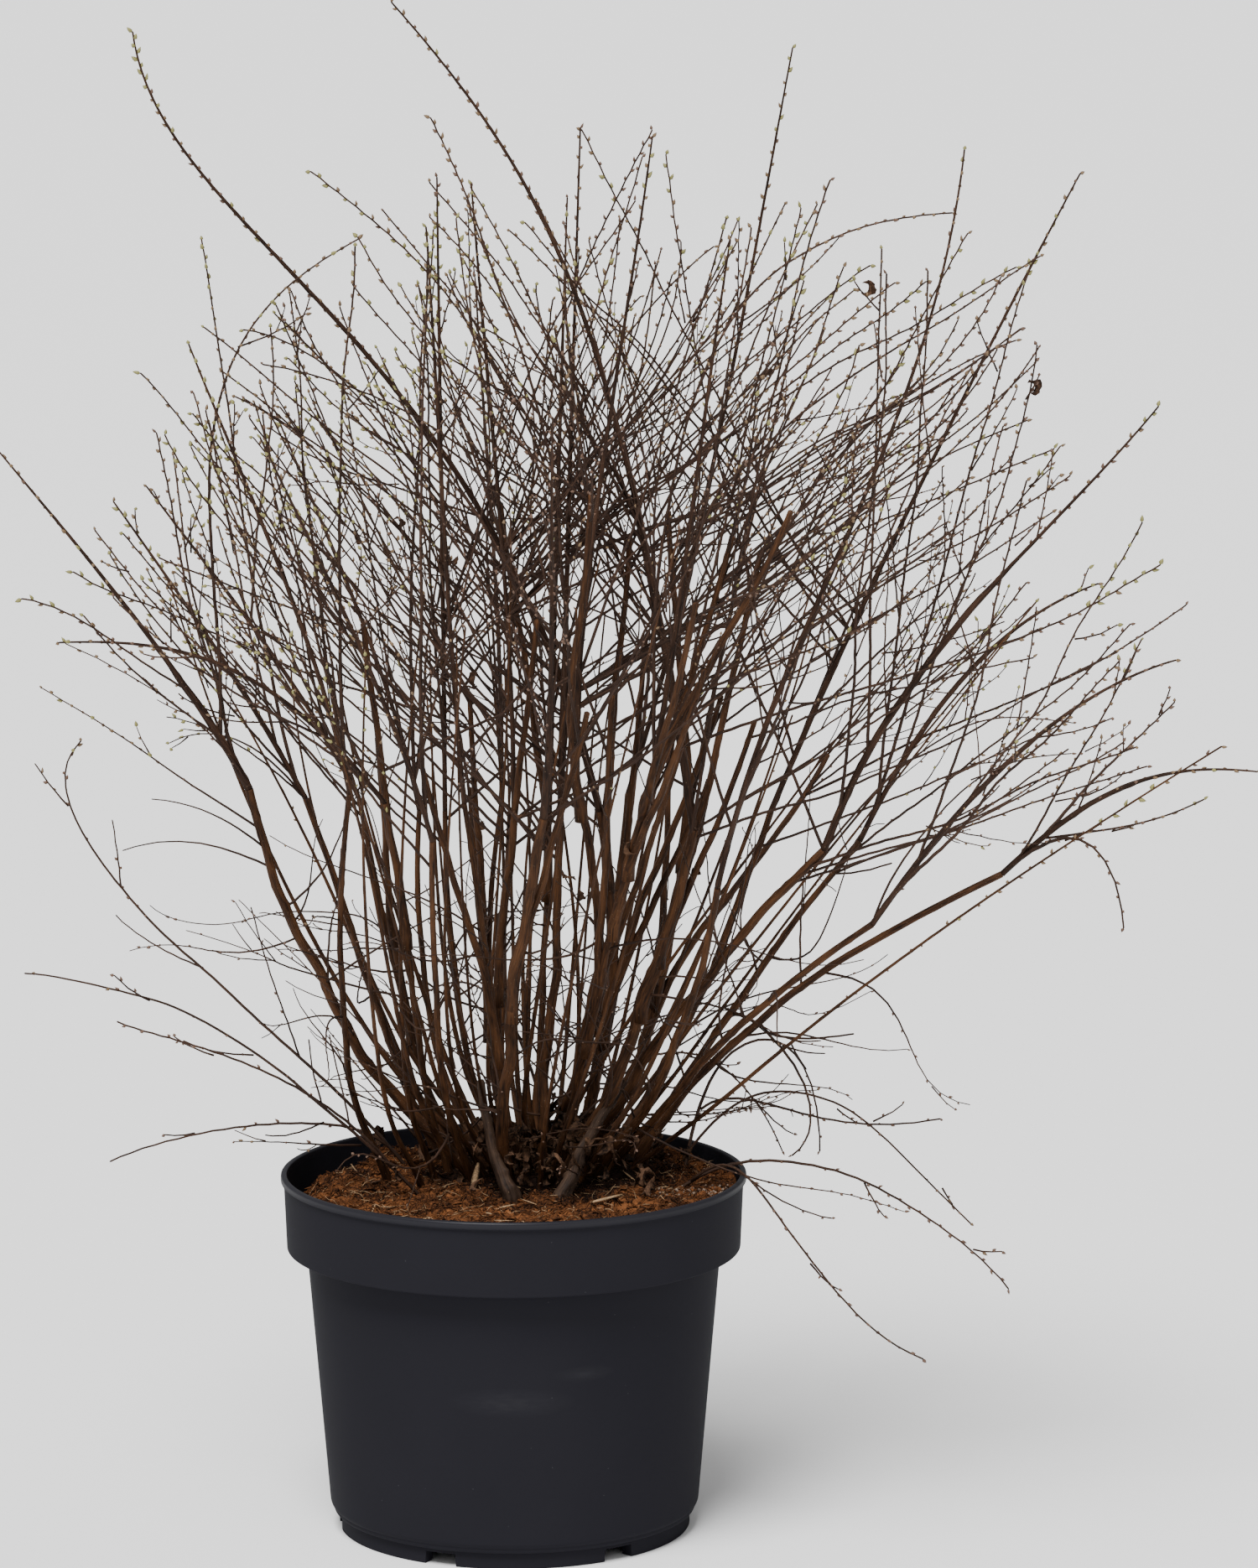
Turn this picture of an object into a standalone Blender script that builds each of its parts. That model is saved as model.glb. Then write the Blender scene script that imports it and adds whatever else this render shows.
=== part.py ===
"""A potted grefsheim spirea in late winter, bare of leaves.

A round nursery pot filled with peat carries a clump of canes. Each cane is one tapering limb from
a flat cut at the peat to its fork, and carries one mass of leafless twigs. Thin shoots from the
foot of the clump hang out over the rim in masses of their own.

Metres, +Z up. The front of the plant faces -Y. The origin is the middle of the pot's underside,
on the surface that the pot stands on.
"""

import math
from collections import namedtuple

import bmesh
import bpy
import numpy as np
from mathutils import Matrix, Vector

# Left between two pieces that touch
TOUCH = 0.0003

# Pot: a 30 litre nursery container, 400 mm across its lip
POT_SIDES = 48
POT_HEIGHT = 0.310
LIP_RADIUS = 0.200
LIP_HEIGHT = 0.0065
LIP_WIDTH = 0.0042
LIP_ROUND = 0.0018
COLLAR_TOP_RADIUS = 0.1975
COLLAR_FOOT_RADIUS = 0.1950
COLLAR_FOOT = 0.245
BODY_TOP_RADIUS = 0.178
BODY_FOOT_RADIUS = 0.159
BODY_FOOT = 0.021
WALL = 0.0028
FLOOR_UNDERSIDE = 0.0115
RING_RADIUS = 0.1515
RING_HEIGHT = 0.0145
RING_WIDTH = 0.0115
DRAFT = 0.002
PAD_RADIUS = 0.030
NOTCHES = 6
NOTCH_WIDTH = 0.027
NOTCH_HEIGHT = 0.0110
NOTCH_DEPTH = RING_WIDTH * 2.4
FIRST_NOTCH = math.radians(-113.5)

# Peat: level under the clump, lower at the wall
PEAT_LEVEL = 0.296
PEAT_LEVEL_RADIUS = 0.152
PEAT_EDGE = 0.286
PEAT_EDGE_RADIUS = 0.1925
PEAT_GAP = 0.0006

# Limbs: corners round one, straight pieces along it, and its thickness
CANE_SIDES = 8
CANE_SECTIONS = (0.0, 0.03, 0.22, 0.45, 0.72, 1.0)
CANE_TIP_SHARE = 0.60
FOOT_FLARE = 1.38
TWIG_SIDES = 3
SHOOT_PIECES = 4
TWIG_PIECES = 1
MOST_TURN = math.radians(11.0)
ROOT_SINK = 0.0010
STEM_THICKNESS_SHARE = 0.94
SHOOT_THICKNESS = 0.0045
LOW_STEM_THICKNESS = 0.0040
LOW_BRANCH_THICKNESS = 0.0032
SHOOT_TIP_THICKNESS = 0.0016
TWIG_THICKNESS = 0.0026
TWIG_TIP_THICKNESS = 0.0013

# Colours, as linear values
POT_COLOR = (0.020, 0.023, 0.028)
PEAT_COLOR = (0.090, 0.038, 0.018)
BARK_COLOR = (0.065, 0.030, 0.018)
TWIG_COLOR = (0.040, 0.022, 0.016)
POT_ROUGHNESS = 0.45
PEAT_ROUGHNESS = 0.95
BARK_ROUGHNESS = 0.75
TWIG_ROUGHNESS = 0.70

# Meshes
WELD = 0.00002
SHARP_ANGLE = math.radians(40.0)

# The crown's space, and how far limbs keep from each other in it
CROWN_MIDDLE = np.array((0.090, 0.010, 0.640))
CROWN_REACH = np.array((0.480, 0.440, 0.500))
CROWN_MARGIN = 1.04
SHOOT_CLEARANCE = 0.0030
TWIG_CLEARANCE = 0.0050
OWN_CLEARANCE = 0.0020
TWIG_ROOT = 0.022
GROWN_ROOT = 0.050
LOW_ROOT = 0.060
BRANCH_ROOT = 0.090
RIM_CLEARANCE = 0.004
RIM_WIDTH = 0.012
SAMPLE_STEP = 0.006
ROOM_RUNS = 12
SIDE_STEPS = (0.0, 0.008, -0.008, 0.016, -0.016, 0.026, -0.026, 0.038, -0.038, 0.050, -0.050)

# A shoot to a named tip: where it leaves the mass's first shoot, and its plain arch
FIRST_BRANCH = 0.05
BRANCH_STEP = 0.09
ARCH = 0.03
FOLLOW = 0.6
FOLLOW_SHARE = 0.32

# A shoot that the rule grows: places, angles and reach, as lowest and highest
SEED = 27
GROWN_SHOOTS = 2
ATTEMPTS = 8
FIRST_GROWN = 0.08
GROWN_STEP = 0.085
GROWN_SPREAD = (-0.02, 0.02)
GROWN_LEAVE = (20.0, 38.0)
GROWN_FILL = (0.74, 1.0)
GROWN_REACH = (0.14, 0.50)
GROWN_LIFT = 0.15
GROWN_THICKNESS = (0.0025, 0.0027)

# A side twig: every fourth of those that the rule has room for is built
TURN = math.radians(137.5)
TURN_SPREAD = (-0.4, 0.4)
TWIG_SEED = 50
TWIG_SPACING = 0.030
TWIG_EVERY = 4
TWIG_SHARES = (0.16, 0.94)
TWIG_LEAVE = (30.0, 48.0)
TWIG_REACH_SHARE = 0.36
TWIG_REACH_END = 1.12
TWIG_REACH_SPREAD = (0.6, 1.15)
TWIG_REACH = (0.022, 0.170)
TWIG_LIFT = 0.12

UP = np.array((0.0, 0.0, 1.0))

# Each cane: foot x and y on the peat, the fork it ends at, its thickness, its sideways bow
Cane = namedtuple("Cane", "foot fork thickness bow")
CANES = {
    "left_1": Cane((-0.055, 0.050), (-0.223, -0.020, 0.645), 0.0130, -0.033),
    "left_2": Cane((-0.124, 0.005), (-0.132, -0.150, 0.662), 0.0080, -0.020),
    "left_3": Cane((-0.080, 0.100), (-0.182, 0.110, 0.616), 0.0095, 0.004),
    "left_4": Cane((-0.060, 0.078), (-0.132, 0.030, 0.629), 0.0080, -0.005),
    "left_5": Cane((-0.072, 0.025), (-0.105, -0.090, 0.644), 0.0080, 0.006),
    "left_6": Cane((-0.045, 0.122), (-0.086, 0.190, 0.592), 0.0080, -0.020),
    "left_7": Cane((-0.048, -0.020), (-0.062, -0.210, 0.632), 0.0080, -0.008),
    "left_8": Cane((-0.020, 0.085), (-0.060, 0.080, 0.610), 0.0080, -0.014),
    "middle_1": Cane((-0.002, -0.010), (-0.038, -0.120, 0.649), 0.0080, 0.004),
    "middle_2": Cane((-0.014, 0.128), (-0.015, 0.240, 0.588), 0.0080, -0.015),
    "middle_3": Cane((-0.012, 0.045), (0.001, -0.010, 0.624), 0.0080, -0.010),
    "middle_4": Cane((-0.012, -0.040), (0.029, -0.200, 0.650), 0.0135, -0.010),
    "middle_5": Cane((0.012, 0.096), (0.029, 0.140, 0.590), 0.0090, 0.004),
    "middle_6": Cane((0.018, 0.020), (0.040, 0.030, 0.605), 0.0120, 0.005),
    "middle_7": Cane((0.018, 0.062), (0.055, -0.100, 0.657), 0.0120, 0.045),
    "middle_8": Cane((0.054, 0.106), (0.074, 0.060, 0.613), 0.0130, 0.024),
    "right_1": Cane((0.042, 0.140), (0.098, 0.250, 0.598), 0.0090, 0.010),
    "right_2": Cane((0.040, 0.028), (0.116, -0.150, 0.667), 0.0095, -0.006),
    "right_3": Cane((0.046, -0.018), (0.154, -0.020, 0.610), 0.0140, 0.012),
    "right_4": Cane((0.082, 0.118), (0.147, 0.190, 0.560), 0.0080, 0.010),
    "right_5": Cane((0.078, 0.008), (0.172, -0.170, 0.586), 0.0100, 0.020),
    "right_6": Cane((0.086, 0.080), (0.223, 0.140, 0.600), 0.0100, 0.012),
    "right_7": Cane((0.064, 0.048), (0.263, -0.060, 0.599), 0.0125, -0.030),
    "right_8": Cane((0.112, 0.098), (0.299, 0.100, 0.580), 0.0095, -0.016),
    "right_9": Cane((0.098, 0.036), (0.300, -0.160, 0.554), 0.0095, -0.040),
    "right_10": Cane((0.120, 0.062), (0.418, 0.020, 0.565), 0.0100, -0.082),
}

# The tips that make the crown's outline, each on its cane. A tip is followed, where the shoot is
# not a plain gentle arch, by how far x and z bow from the straight near the cane and near the tip
TIPS = {
    "left_1": ((-0.430, -0.02, 0.932), (-0.300, 0.03, 0.945),
               (-0.125, -0.03, 1.110, -0.04, 0.12, -0.12, 0.06)),
    "left_2": ((-0.260, -0.16, 1.035), (-0.125, -0.17, 1.115)),
    "left_3": ((-0.348, 0.14, 0.872), (-0.268, 0.16, 1.095)),
    "left_4": ((-0.312, 0.05, 0.895), (-0.190, 0.04, 1.060)),
    "left_5": ((-0.370, -0.15, 0.788, 0.00, 0.07, 0.02, 0.05), (-0.205, -0.13, 0.985)),
    "left_6": ((-0.220, 0.36, 0.930), (-0.075, 0.25, 1.100)),
    "left_7": ((-0.190, -0.37, 0.980), (-0.062, -0.25, 1.120)),
    "left_8": ((-0.065, 0.10, 1.155),),
    "middle_1": ((-0.066, -0.16, 1.130),),
    "middle_2": ((-0.040, 0.41, 1.040),),
    "middle_3": ((-0.033, 0.00, 1.155),),
    "middle_4": ((0.040, -0.42, 1.000),),
    "middle_5": ((0.045, 0.22, 1.130),),
    "middle_6": ((0.058, 0.03, 1.200), (-0.168, 0.05, 1.165, 0.10, 0.10, 0.10, 0.04)),
    "middle_7": ((0.118, -0.14, 1.202), (-0.063, -0.10, 1.215, 0.03, 0.08, 0.02, 0.06)),
    "middle_8": ((-0.312, -0.04, 1.283, 0.03, 0.20, -0.11, 0.05),),
    "right_1": ((0.240, 0.17, 1.262, 0.02, 0.00, 0.00, -0.04), (0.130, 0.45, 0.950)),
    "right_2": ((0.180, -0.24, 1.125), (0.361, -0.14, 1.140, -0.09, 0.16, -0.09, 0.14)),
    "right_3": ((-0.097, -0.05, 1.308, 0.02, 0.20, 0.05, 0.08), (0.245, 0.00, 1.132)),
    "right_4": ((0.255, 0.40, 1.020),),
    "right_5": ((0.369, -0.20, 1.195, -0.02, 0.02, 0.04, -0.04), (0.290, -0.40, 0.930)),
    "right_6": ((0.484, 0.10, 1.158), (0.400, 0.26, 0.980)),
    "right_7": ((0.538, -0.08, 0.976, -0.03, 0.05, 0.00, 0.01),
                (0.441, 0.02, 1.018, -0.01, -0.02, 0.03, -0.08)),
    "right_8": ((0.505, 0.12, 0.803, 0.00, 0.07, 0.00, 0.05), (0.437, 0.06, 1.080)),
    "right_9": ((0.550, -0.14, 0.772, 0.00, 0.05, 0.00, 0.05), (0.490, -0.34, 0.800)),
    "right_10": ((0.633, 0.00, 0.657, 0.00, 0.04, -0.02, 0.04),
                 (0.518, -0.04, 0.528, 0.01, 0.05, 0.02, 0.07), (0.570, 0.09, 0.705)),
}

# The low masses. Each stem is its start, on the peat or against a cane, two guiding corners and its
# tip. Each branch is its share of the stem's run, two guiding corners and its tip
LOW_STEMS = {
    "left_1": ((-0.092, 0.062, PEAT_LEVEL + TOUCH), (-0.196, 0.070, 0.430),
               (-0.450, 0.080, 0.590), (-0.374, 0.060, 0.672)),
    "left_2": ((-0.076, -0.052, PEAT_LEVEL + TOUCH), (-0.150, -0.070, 0.385),
               (-0.280, -0.110, 0.500), (-0.404, -0.130, 0.508)),
    "right_1": ((0.146, 0.022, PEAT_LEVEL + TOUCH), (0.165, 0.060, 0.440),
                (0.270, 0.080, 0.460), (0.268, 0.085, 0.312)),
    "right_2": ((0.138, -0.030, PEAT_LEVEL + TOUCH), (0.190, -0.030, 0.350),
                (0.340, -0.040, 0.325), (0.424, -0.050, 0.218)),
    "back_1": ((0.030, 0.145, PEAT_LEVEL + TOUCH), (0.010, 0.230, 0.430),
               (-0.060, 0.340, 0.450), (-0.110, 0.390, 0.360)),
}
# The low mass that hangs from a cane: the cane, the share of its run, the way the stem leaves it,
# and the stem's two guiding corners and its tip
PERCH = ("right_8", 0.47, (0.60, -0.45, -0.20))
PERCHED_STEM = ((0.225, 0.050, 0.440), (0.285, 0.020, 0.350), (0.240, 0.020, 0.318))
LOW_BRANCHES = {
    "left_1": ((0.05, (-0.160, 0.060, 0.360), (-0.270, 0.030, 0.345), (-0.348, 0.020, 0.315)),),
    "left_2": ((0.10, (-0.170, -0.100, 0.425), (-0.250, -0.150, 0.435), (-0.326, -0.170, 0.475)),),
    "right_1": ((0.06, (0.210, 0.020, 0.400), (0.290, 0.000, 0.390), (0.395, -0.020, 0.268)),
                (0.16, (0.200, 0.060, 0.380), (0.280, 0.080, 0.320), (0.374, 0.100, 0.335))),
    "right_2": ((0.08, (0.215, -0.070, 0.375), (0.222, -0.120, 0.230), (0.348, -0.100, 0.172)),),
    "right_3": ((0.20, (0.225, 0.000, 0.420), (0.260, -0.020, 0.425), (0.290, -0.040, 0.435)),),
    "back_1": ((0.06, (0.090, 0.230, 0.385), (0.190, 0.310, 0.380), (0.240, 0.350, 0.250)),),
}

# A limb: its four guiding corners and its thickness at both ends
Limb = namedtuple("Limb", "corners thick thin")


def unit(vector):
    return vector / np.linalg.norm(vector)


def bezier(corners, shares):
    """Points of the curve that four corners guide, at the given shares of its run."""
    along = np.asarray(shares, dtype=float)[:, None]
    back = 1.0 - along
    start, low, high, tip = corners
    near_root = start * back**3 + 3 * low * along * back**2
    return near_root + 3 * high * along**2 * back + tip * along**3


def heading(limb, share):
    """The direction that a limb grows in at a share of its run."""
    nearby = (max(share - 0.01, 0.0), min(share + 0.01, 1.0))
    before, after = bezier(limb.corners, nearby)
    return unit(after - before)


def length_of(limb):
    points = bezier(limb.corners, np.linspace(0.0, 1.0, 9))
    return np.linalg.norm(np.diff(points, axis=0), axis=1).sum()


def thickness_at(limb, shares):
    return limb.thick + (limb.thin - limb.thick) * np.asarray(shares, dtype=float)


def turned_off(direction, leave, azimuth):
    """A direction that leaves another by an angle, towards an azimuth round it."""
    side = unit(np.cross(direction, UP) + np.array((1e-6, 0.0, 0.0)))
    lift = np.cross(side, direction)
    outward = side * math.cos(azimuth) + lift * math.sin(azimuth)
    return direction * math.cos(leave) + outward * math.sin(leave)


def springing(start, direction, reach, lift):
    """The corners of a limb that leaves one way and rises a little at its tip."""
    tip = start + direction * reach + UP * reach * lift
    return start, start + direction * reach / 3, start + direction * reach * 2 / 3, tip


def clear_of_pot(points, radii):
    """Whether a limb stays over the peat, over the lip or outside the pot. It may stand on peat."""
    reach = np.linalg.norm(points[:, :2], axis=1)
    low = points[:, 2] - np.append(0.0, radii[1:])
    over_rim = low > POT_HEIGHT + RIM_CLEARANCE
    over_peat = (reach + radii < LIP_RADIUS - RIM_WIDTH) & (low > PEAT_LEVEL)
    outside = (reach - radii > LIP_RADIUS + RIM_CLEARANCE) & (low > RIM_CLEARANCE)
    return bool(np.all(over_rim | over_peat | outside))


class Room:
    """The limbs placed so far, as straight runs, so that the next limb can be kept clear of them."""

    def __init__(self):
        self.starts = np.empty((0, 3))
        self.spans = np.empty((0, 3))
        self.radii = np.empty(0)
        self.families = np.empty(0, dtype=int)

    def add(self, limb, family):
        shares = np.linspace(0.0, 1.0, ROOM_RUNS + 1)
        points = bezier(limb.corners, shares)
        self.starts = np.vstack((self.starts, points[:-1]))
        self.spans = np.vstack((self.spans, np.diff(points, axis=0)))
        self.radii = np.append(self.radii, thickness_at(limb, shares[:-1]) / 2)
        self.families = np.append(self.families, np.full(ROOM_RUNS, family))

    def is_clear(self, limb, family, clearance, root):
        """Whether a limb keeps clear of the others. Its root may touch the limbs of its family."""
        count = max(4, int(length_of(limb) / SAMPLE_STEP) + 1)
        shares = np.linspace(0.0, 1.0, count)
        points = bezier(limb.corners, shares)
        radii = thickness_at(limb, shares) / 2
        if not clear_of_pot(points, radii):
            return False
        offsets = points[:, None, :] - self.starts[None, :, :]
        along = (offsets * self.spans).sum(axis=2) / (self.spans**2).sum(axis=1)
        nearest = offsets - np.clip(along, 0.0, 1.0)[:, :, None] * self.spans
        gaps = np.linalg.norm(nearest, axis=2) - radii[:, None] - self.radii
        own = self.families == family
        past_root = np.linalg.norm(points - points[0], axis=1) > root
        others_gap = gaps[:, ~own].min(initial=np.inf)
        own_gap = gaps[past_root][:, own].min(initial=np.inf)
        return others_gap >= clearance and own_gap >= OWN_CLEARANCE


def in_crown(point):
    place = (point - CROWN_MIDDLE) / CROWN_REACH
    return np.linalg.norm(place) <= CROWN_MARGIN


def reach_of_crown(start, direction):
    """How far the crown's surface is from a point inside it, in a direction."""
    place = (start - CROWN_MIDDLE) / CROWN_REACH
    step = direction / CROWN_REACH
    slope = np.dot(place, step) / np.dot(step, step)
    rest = (1.0 - np.dot(place, place)) / np.dot(step, step)
    return -slope + math.sqrt(max(slope**2 + rest, 0.0))


def cane_limb(cane):
    foot = np.array((*cane.foot, PEAT_LEVEL + TOUCH))
    fork = np.array(cane.fork)
    run = fork - foot
    bow = np.array((cane.bow, 0.0, 0.0))
    corners = (foot, foot + run / 3 + bow, foot + run * 2 / 3 + bow, fork)
    return Limb(corners, cane.thickness, cane.thickness * CANE_TIP_SHARE)


def tip_limb(start, along, row, thickness):
    """A shoot from a start to a named tip: a gentle arch, or bowed as its row says."""
    tip = np.array(row[:3])
    run = tip - start
    reach = np.linalg.norm(run)
    if len(row) > 3:
        low_x, low_z, high_x, high_z = row[3:]
        low = start + run / 3 + np.array((low_x, 0.0, low_z))
        high = start + run * 2 / 3 + np.array((high_x, 0.0, high_z))
    else:
        low = start + unit(run / reach + along * FOLLOW) * reach * FOLLOW_SHARE
        high = start + run * 2 / 3 + UP * reach * ARCH
    return Limb((start, low, high, tip), thickness, SHOOT_TIP_THICKNESS)


def perch(canes):
    """Where the hanging mass starts, just clear of its cane's bark, and the way it leaves it."""
    name, share, way = PERCH
    along = heading(canes[name], share)
    outward = unit(np.array(way) - along * np.dot(way, along))
    clear = thickness_at(canes[name], share) / 2 + TOUCH
    return bezier(canes[name].corners, (share,))[0] + outward * clear, outward


def low_limbs(name, canes):
    """The stem of a low mass and the branches that start on it."""
    if name in LOW_STEMS:
        stem = tuple(np.array(corner) for corner in LOW_STEMS[name])
    else:
        stem = (perch(canes)[0], *(np.array(corner) for corner in PERCHED_STEM))
    limbs = [Limb(stem, LOW_STEM_THICKNESS, SHOOT_TIP_THICKNESS)]
    for share, *corners in LOW_BRANCHES[name]:
        start = bezier(stem, (share,))[0]
        branch = (start, *(np.array(corner) for corner in corners))
        limbs.append(Limb(branch, LOW_BRANCH_THICKNESS, SHOOT_TIP_THICKNESS))
    return limbs


def grown_limb(axis, number, seed):
    """A shoot that the rule grows from a mass's first shoot, out to the crown's surface."""
    chance = np.random.default_rng(seed)
    share = FIRST_GROWN + GROWN_STEP * number + chance.uniform(*GROWN_SPREAD)
    start = bezier(axis.corners, (share,))[0]
    leave = math.radians(chance.uniform(*GROWN_LEAVE))
    direction = turned_off(heading(axis, share), leave, chance.uniform(0.0, math.tau))
    surface = reach_of_crown(start, unit(direction + UP * GROWN_LIFT))
    reach = np.clip(surface * chance.uniform(*GROWN_FILL), *GROWN_REACH)
    thickness = GROWN_THICKNESS[0] + GROWN_THICKNESS[1] * reach
    return Limb(springing(start, direction, reach, GROWN_LIFT), thickness, SHOOT_TIP_THICKNESS)


def twig_limb(shoot, number, count, seed):
    """A side twig on a shoot: alternate round it, longer low down and shorter towards the tip."""
    chance = np.random.default_rng(seed)
    first, last = TWIG_SHARES
    share = first + (last - first) * (number + chance.uniform(0.2, 0.8)) / count
    leave = math.radians(chance.uniform(*TWIG_LEAVE))
    azimuth = number * TURN + seed[1] + chance.uniform(*TURN_SPREAD)
    direction = turned_off(heading(shoot, share), leave, azimuth)
    reach = length_of(shoot) * TWIG_REACH_SHARE * (TWIG_REACH_END - share)
    reach = np.clip(reach * chance.uniform(*TWIG_REACH_SPREAD), *TWIG_REACH)
    start = bezier(shoot.corners, (share,))[0]
    corners = springing(start, direction, reach, TWIG_LIFT)
    return Limb(corners, TWIG_THICKNESS, TWIG_TIP_THICKNESS)


def settled(limb, room, family, root):
    """The limb, bent a little to the front or back where it would touch another, or no limb."""
    start, low, high, tip = limb.corners
    for step in SIDE_STEPS:
        bend = np.array((0.0, step, 0.0))
        bent = limb._replace(corners=(start, low + bend, high + bend, tip))
        if room.is_clear(bent, family, SHOOT_CLEARANCE, root):
            return [bent]
    return []


def families_of(canes):
    """Each mass's family: the cane that carries it, and no other mass, shares its number."""
    families = {name: number for number, name in enumerate(canes)}
    for number, name in enumerate(LOW_BRANCHES, len(canes)):
        families["low_" + name] = number if name in LOW_STEMS else families[PERCH[0]]
    return families


def grow():
    """Every cane as a limb, and every mass as a list of limbs whose first one is its stem."""
    room = Room()
    canes = {name: cane_limb(cane) for name, cane in CANES.items()}
    families = families_of(canes)
    masses = {name: [] for name in families}

    def place(name, limbs):
        for limb in limbs:
            room.add(limb, families[name])
        masses[name].extend(limbs)

    for name, limb in canes.items():
        room.add(limb, families[name])
    for name, limb in canes.items():
        along = heading(limb, 1.0)
        stem = tip_limb(limb.corners[3] + along * TOUCH, along, TIPS[name][0],
                        limb.thin * STEM_THICKNESS_SHARE)
        place(name, settled(stem, room, families[name], TWIG_ROOT))
    for name in LOW_BRANCHES:
        for limb in low_limbs(name, canes):
            place("low_" + name, settled(limb, room, families["low_" + name], LOW_ROOT))
    for name in canes:
        axis = masses[name][0]
        for number, row in enumerate(TIPS[name][1:]):
            share = FIRST_BRANCH + BRANCH_STEP * number
            start = bezier(axis.corners, (share,))[0]
            limb = tip_limb(start, heading(axis, share), row, SHOOT_THICKNESS)
            place(name, settled(limb, room, families[name], BRANCH_ROOT))
    for name in canes:
        for number in range(GROWN_SHOOTS):
            for attempt in range(ATTEMPTS):
                limb = grown_limb(masses[name][0], number, (SEED, families[name], number, attempt))
                if room.is_clear(limb, families[name], SHOOT_CLEARANCE, GROWN_ROOT):
                    place(name, [limb])
                    break
    for name, limbs in masses.items():
        for shoot_number, shoot in enumerate(list(limbs)):
            count = int(length_of(shoot) / TWIG_SPACING)
            for number in range(1, count, TWIG_EVERY):
                seed = (SEED, TWIG_SEED + shoot_number, families[name], number)
                twig = twig_limb(shoot, number, count, seed)
                if name in canes and not in_crown(twig.corners[3]):
                    continue
                if room.is_clear(twig, families[name], TWIG_CLEARANCE, TWIG_ROOT):
                    place(name, [twig])
    return canes, masses


def section_shares(limb, least):
    """Where a limb's sections go: more of them the further it turns on its way."""
    headings = [heading(limb, share) for share in np.linspace(0.0, 1.0, 7)]
    turns = [math.acos(min(1.0, np.dot(*pair))) for pair in zip(headings, headings[1:])]
    pieces = max(least, math.ceil(sum(turns) / MOST_TURN))
    return np.linspace(0.0, 1.0, pieces + 1)


def section_places(limb, shares, root_heading):
    """A matrix at each share of a limb, square to it, turned along it and never twisted round it."""
    points = bezier(limb.corners, shares)
    headings = [root_heading] + [heading(limb, share) for share in shares[1:]]
    side = np.array((1.0, 0.0, 0.0))
    places = []
    for point, forward in zip(points, headings):
        side = unit(side - forward * np.dot(side, forward))
        turn = Matrix((side, np.cross(forward, side), forward)).transposed()
        places.append(Matrix.Translation(Vector(point)) @ turn.to_4x4())
    return places


def finished_mesh(name, shape):
    """The mesh of a closed shape, with its faces pointing out and round stretches shaded smooth."""
    bmesh.ops.recalc_face_normals(shape, faces=shape.faces)
    mesh = bpy.data.meshes.new(name)
    shape.to_mesh(mesh)
    shape.free()
    mesh.shade_smooth()
    mesh.set_sharp_from_angle(angle=SHARP_ANGLE)
    return mesh


def limb_mesh(name, places, radii, sides):
    """A closed limb: a ring of corners at each place, skinned, with a flat cap at both ends."""
    shape = bmesh.new()
    rings = []
    for place, radius in zip(places, radii):
        ring = bmesh.ops.create_circle(shape, segments=sides, radius=radius, matrix=place)
        rings.append(ring["verts"])
    for lower, upper in zip(rings, rings[1:]):
        for corner in range(sides):
            after = (corner + 1) % sides
            shape.faces.new((lower[corner], lower[after], upper[after], upper[corner]))
    shape.faces.new(reversed(rings[0]))
    shape.faces.new(rings[-1])
    return finished_mesh(name, shape)


def placed(name, mesh, material):
    piece = bpy.data.objects.new(name, mesh)
    mesh.materials.append(material)
    bpy.context.scene.collection.objects.link(piece)
    return piece


def cane_object(name, limb, material):
    """A cane: flared at its flat foot, tapering to its fork."""
    radii = thickness_at(limb, CANE_SECTIONS) / 2
    radii[0] *= FOOT_FLARE
    places = section_places(limb, CANE_SECTIONS, UP)
    return placed(name, limb_mesh(name, places, radii, CANE_SIDES), material)


def stem_mesh(name, limb, root_heading):
    """The three-sided stem of a mass. Its flat root faces what carries it."""
    shares = section_shares(limb, SHOOT_PIECES)
    places = section_places(limb, shares, root_heading)
    return limb_mesh(name, places, thickness_at(limb, shares) / 2, TWIG_SIDES)


def branch_mesh(name, limb):
    """A three-sided limb whose root starts a little inside the limb that it branches from."""
    outward = heading(limb, 0.0)
    shares = section_shares(limb, SHOOT_PIECES if limb.thick > TWIG_THICKNESS else TWIG_PIECES)
    places = section_places(limb, shares, outward)
    places[0] = Matrix.Translation(Vector(-outward * ROOT_SINK)) @ places[0]
    return limb_mesh(name, places, thickness_at(limb, shares) / 2, TWIG_SIDES)


def keep_biggest_body(mesh):
    """Leaves one body whose faces meet edge to edge: a scrap or a sealed hollow's shell goes."""
    shape = bmesh.new()
    shape.from_mesh(mesh)
    waiting = set(shape.faces)
    bodies = []
    while waiting:
        front = [waiting.pop()]
        body = list(front)
        while front:
            for edge in front.pop().edges:
                reached = [face for face in edge.link_faces if face in waiting]
                waiting.difference_update(reached)
                front.extend(reached)
                body.extend(reached)
        bodies.append(body)
    for scrap in sorted(bodies, key=len)[:-1]:
        bmesh.ops.delete(shape, geom=scrap, context="FACES")
    shape.to_mesh(mesh)
    shape.free()


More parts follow.
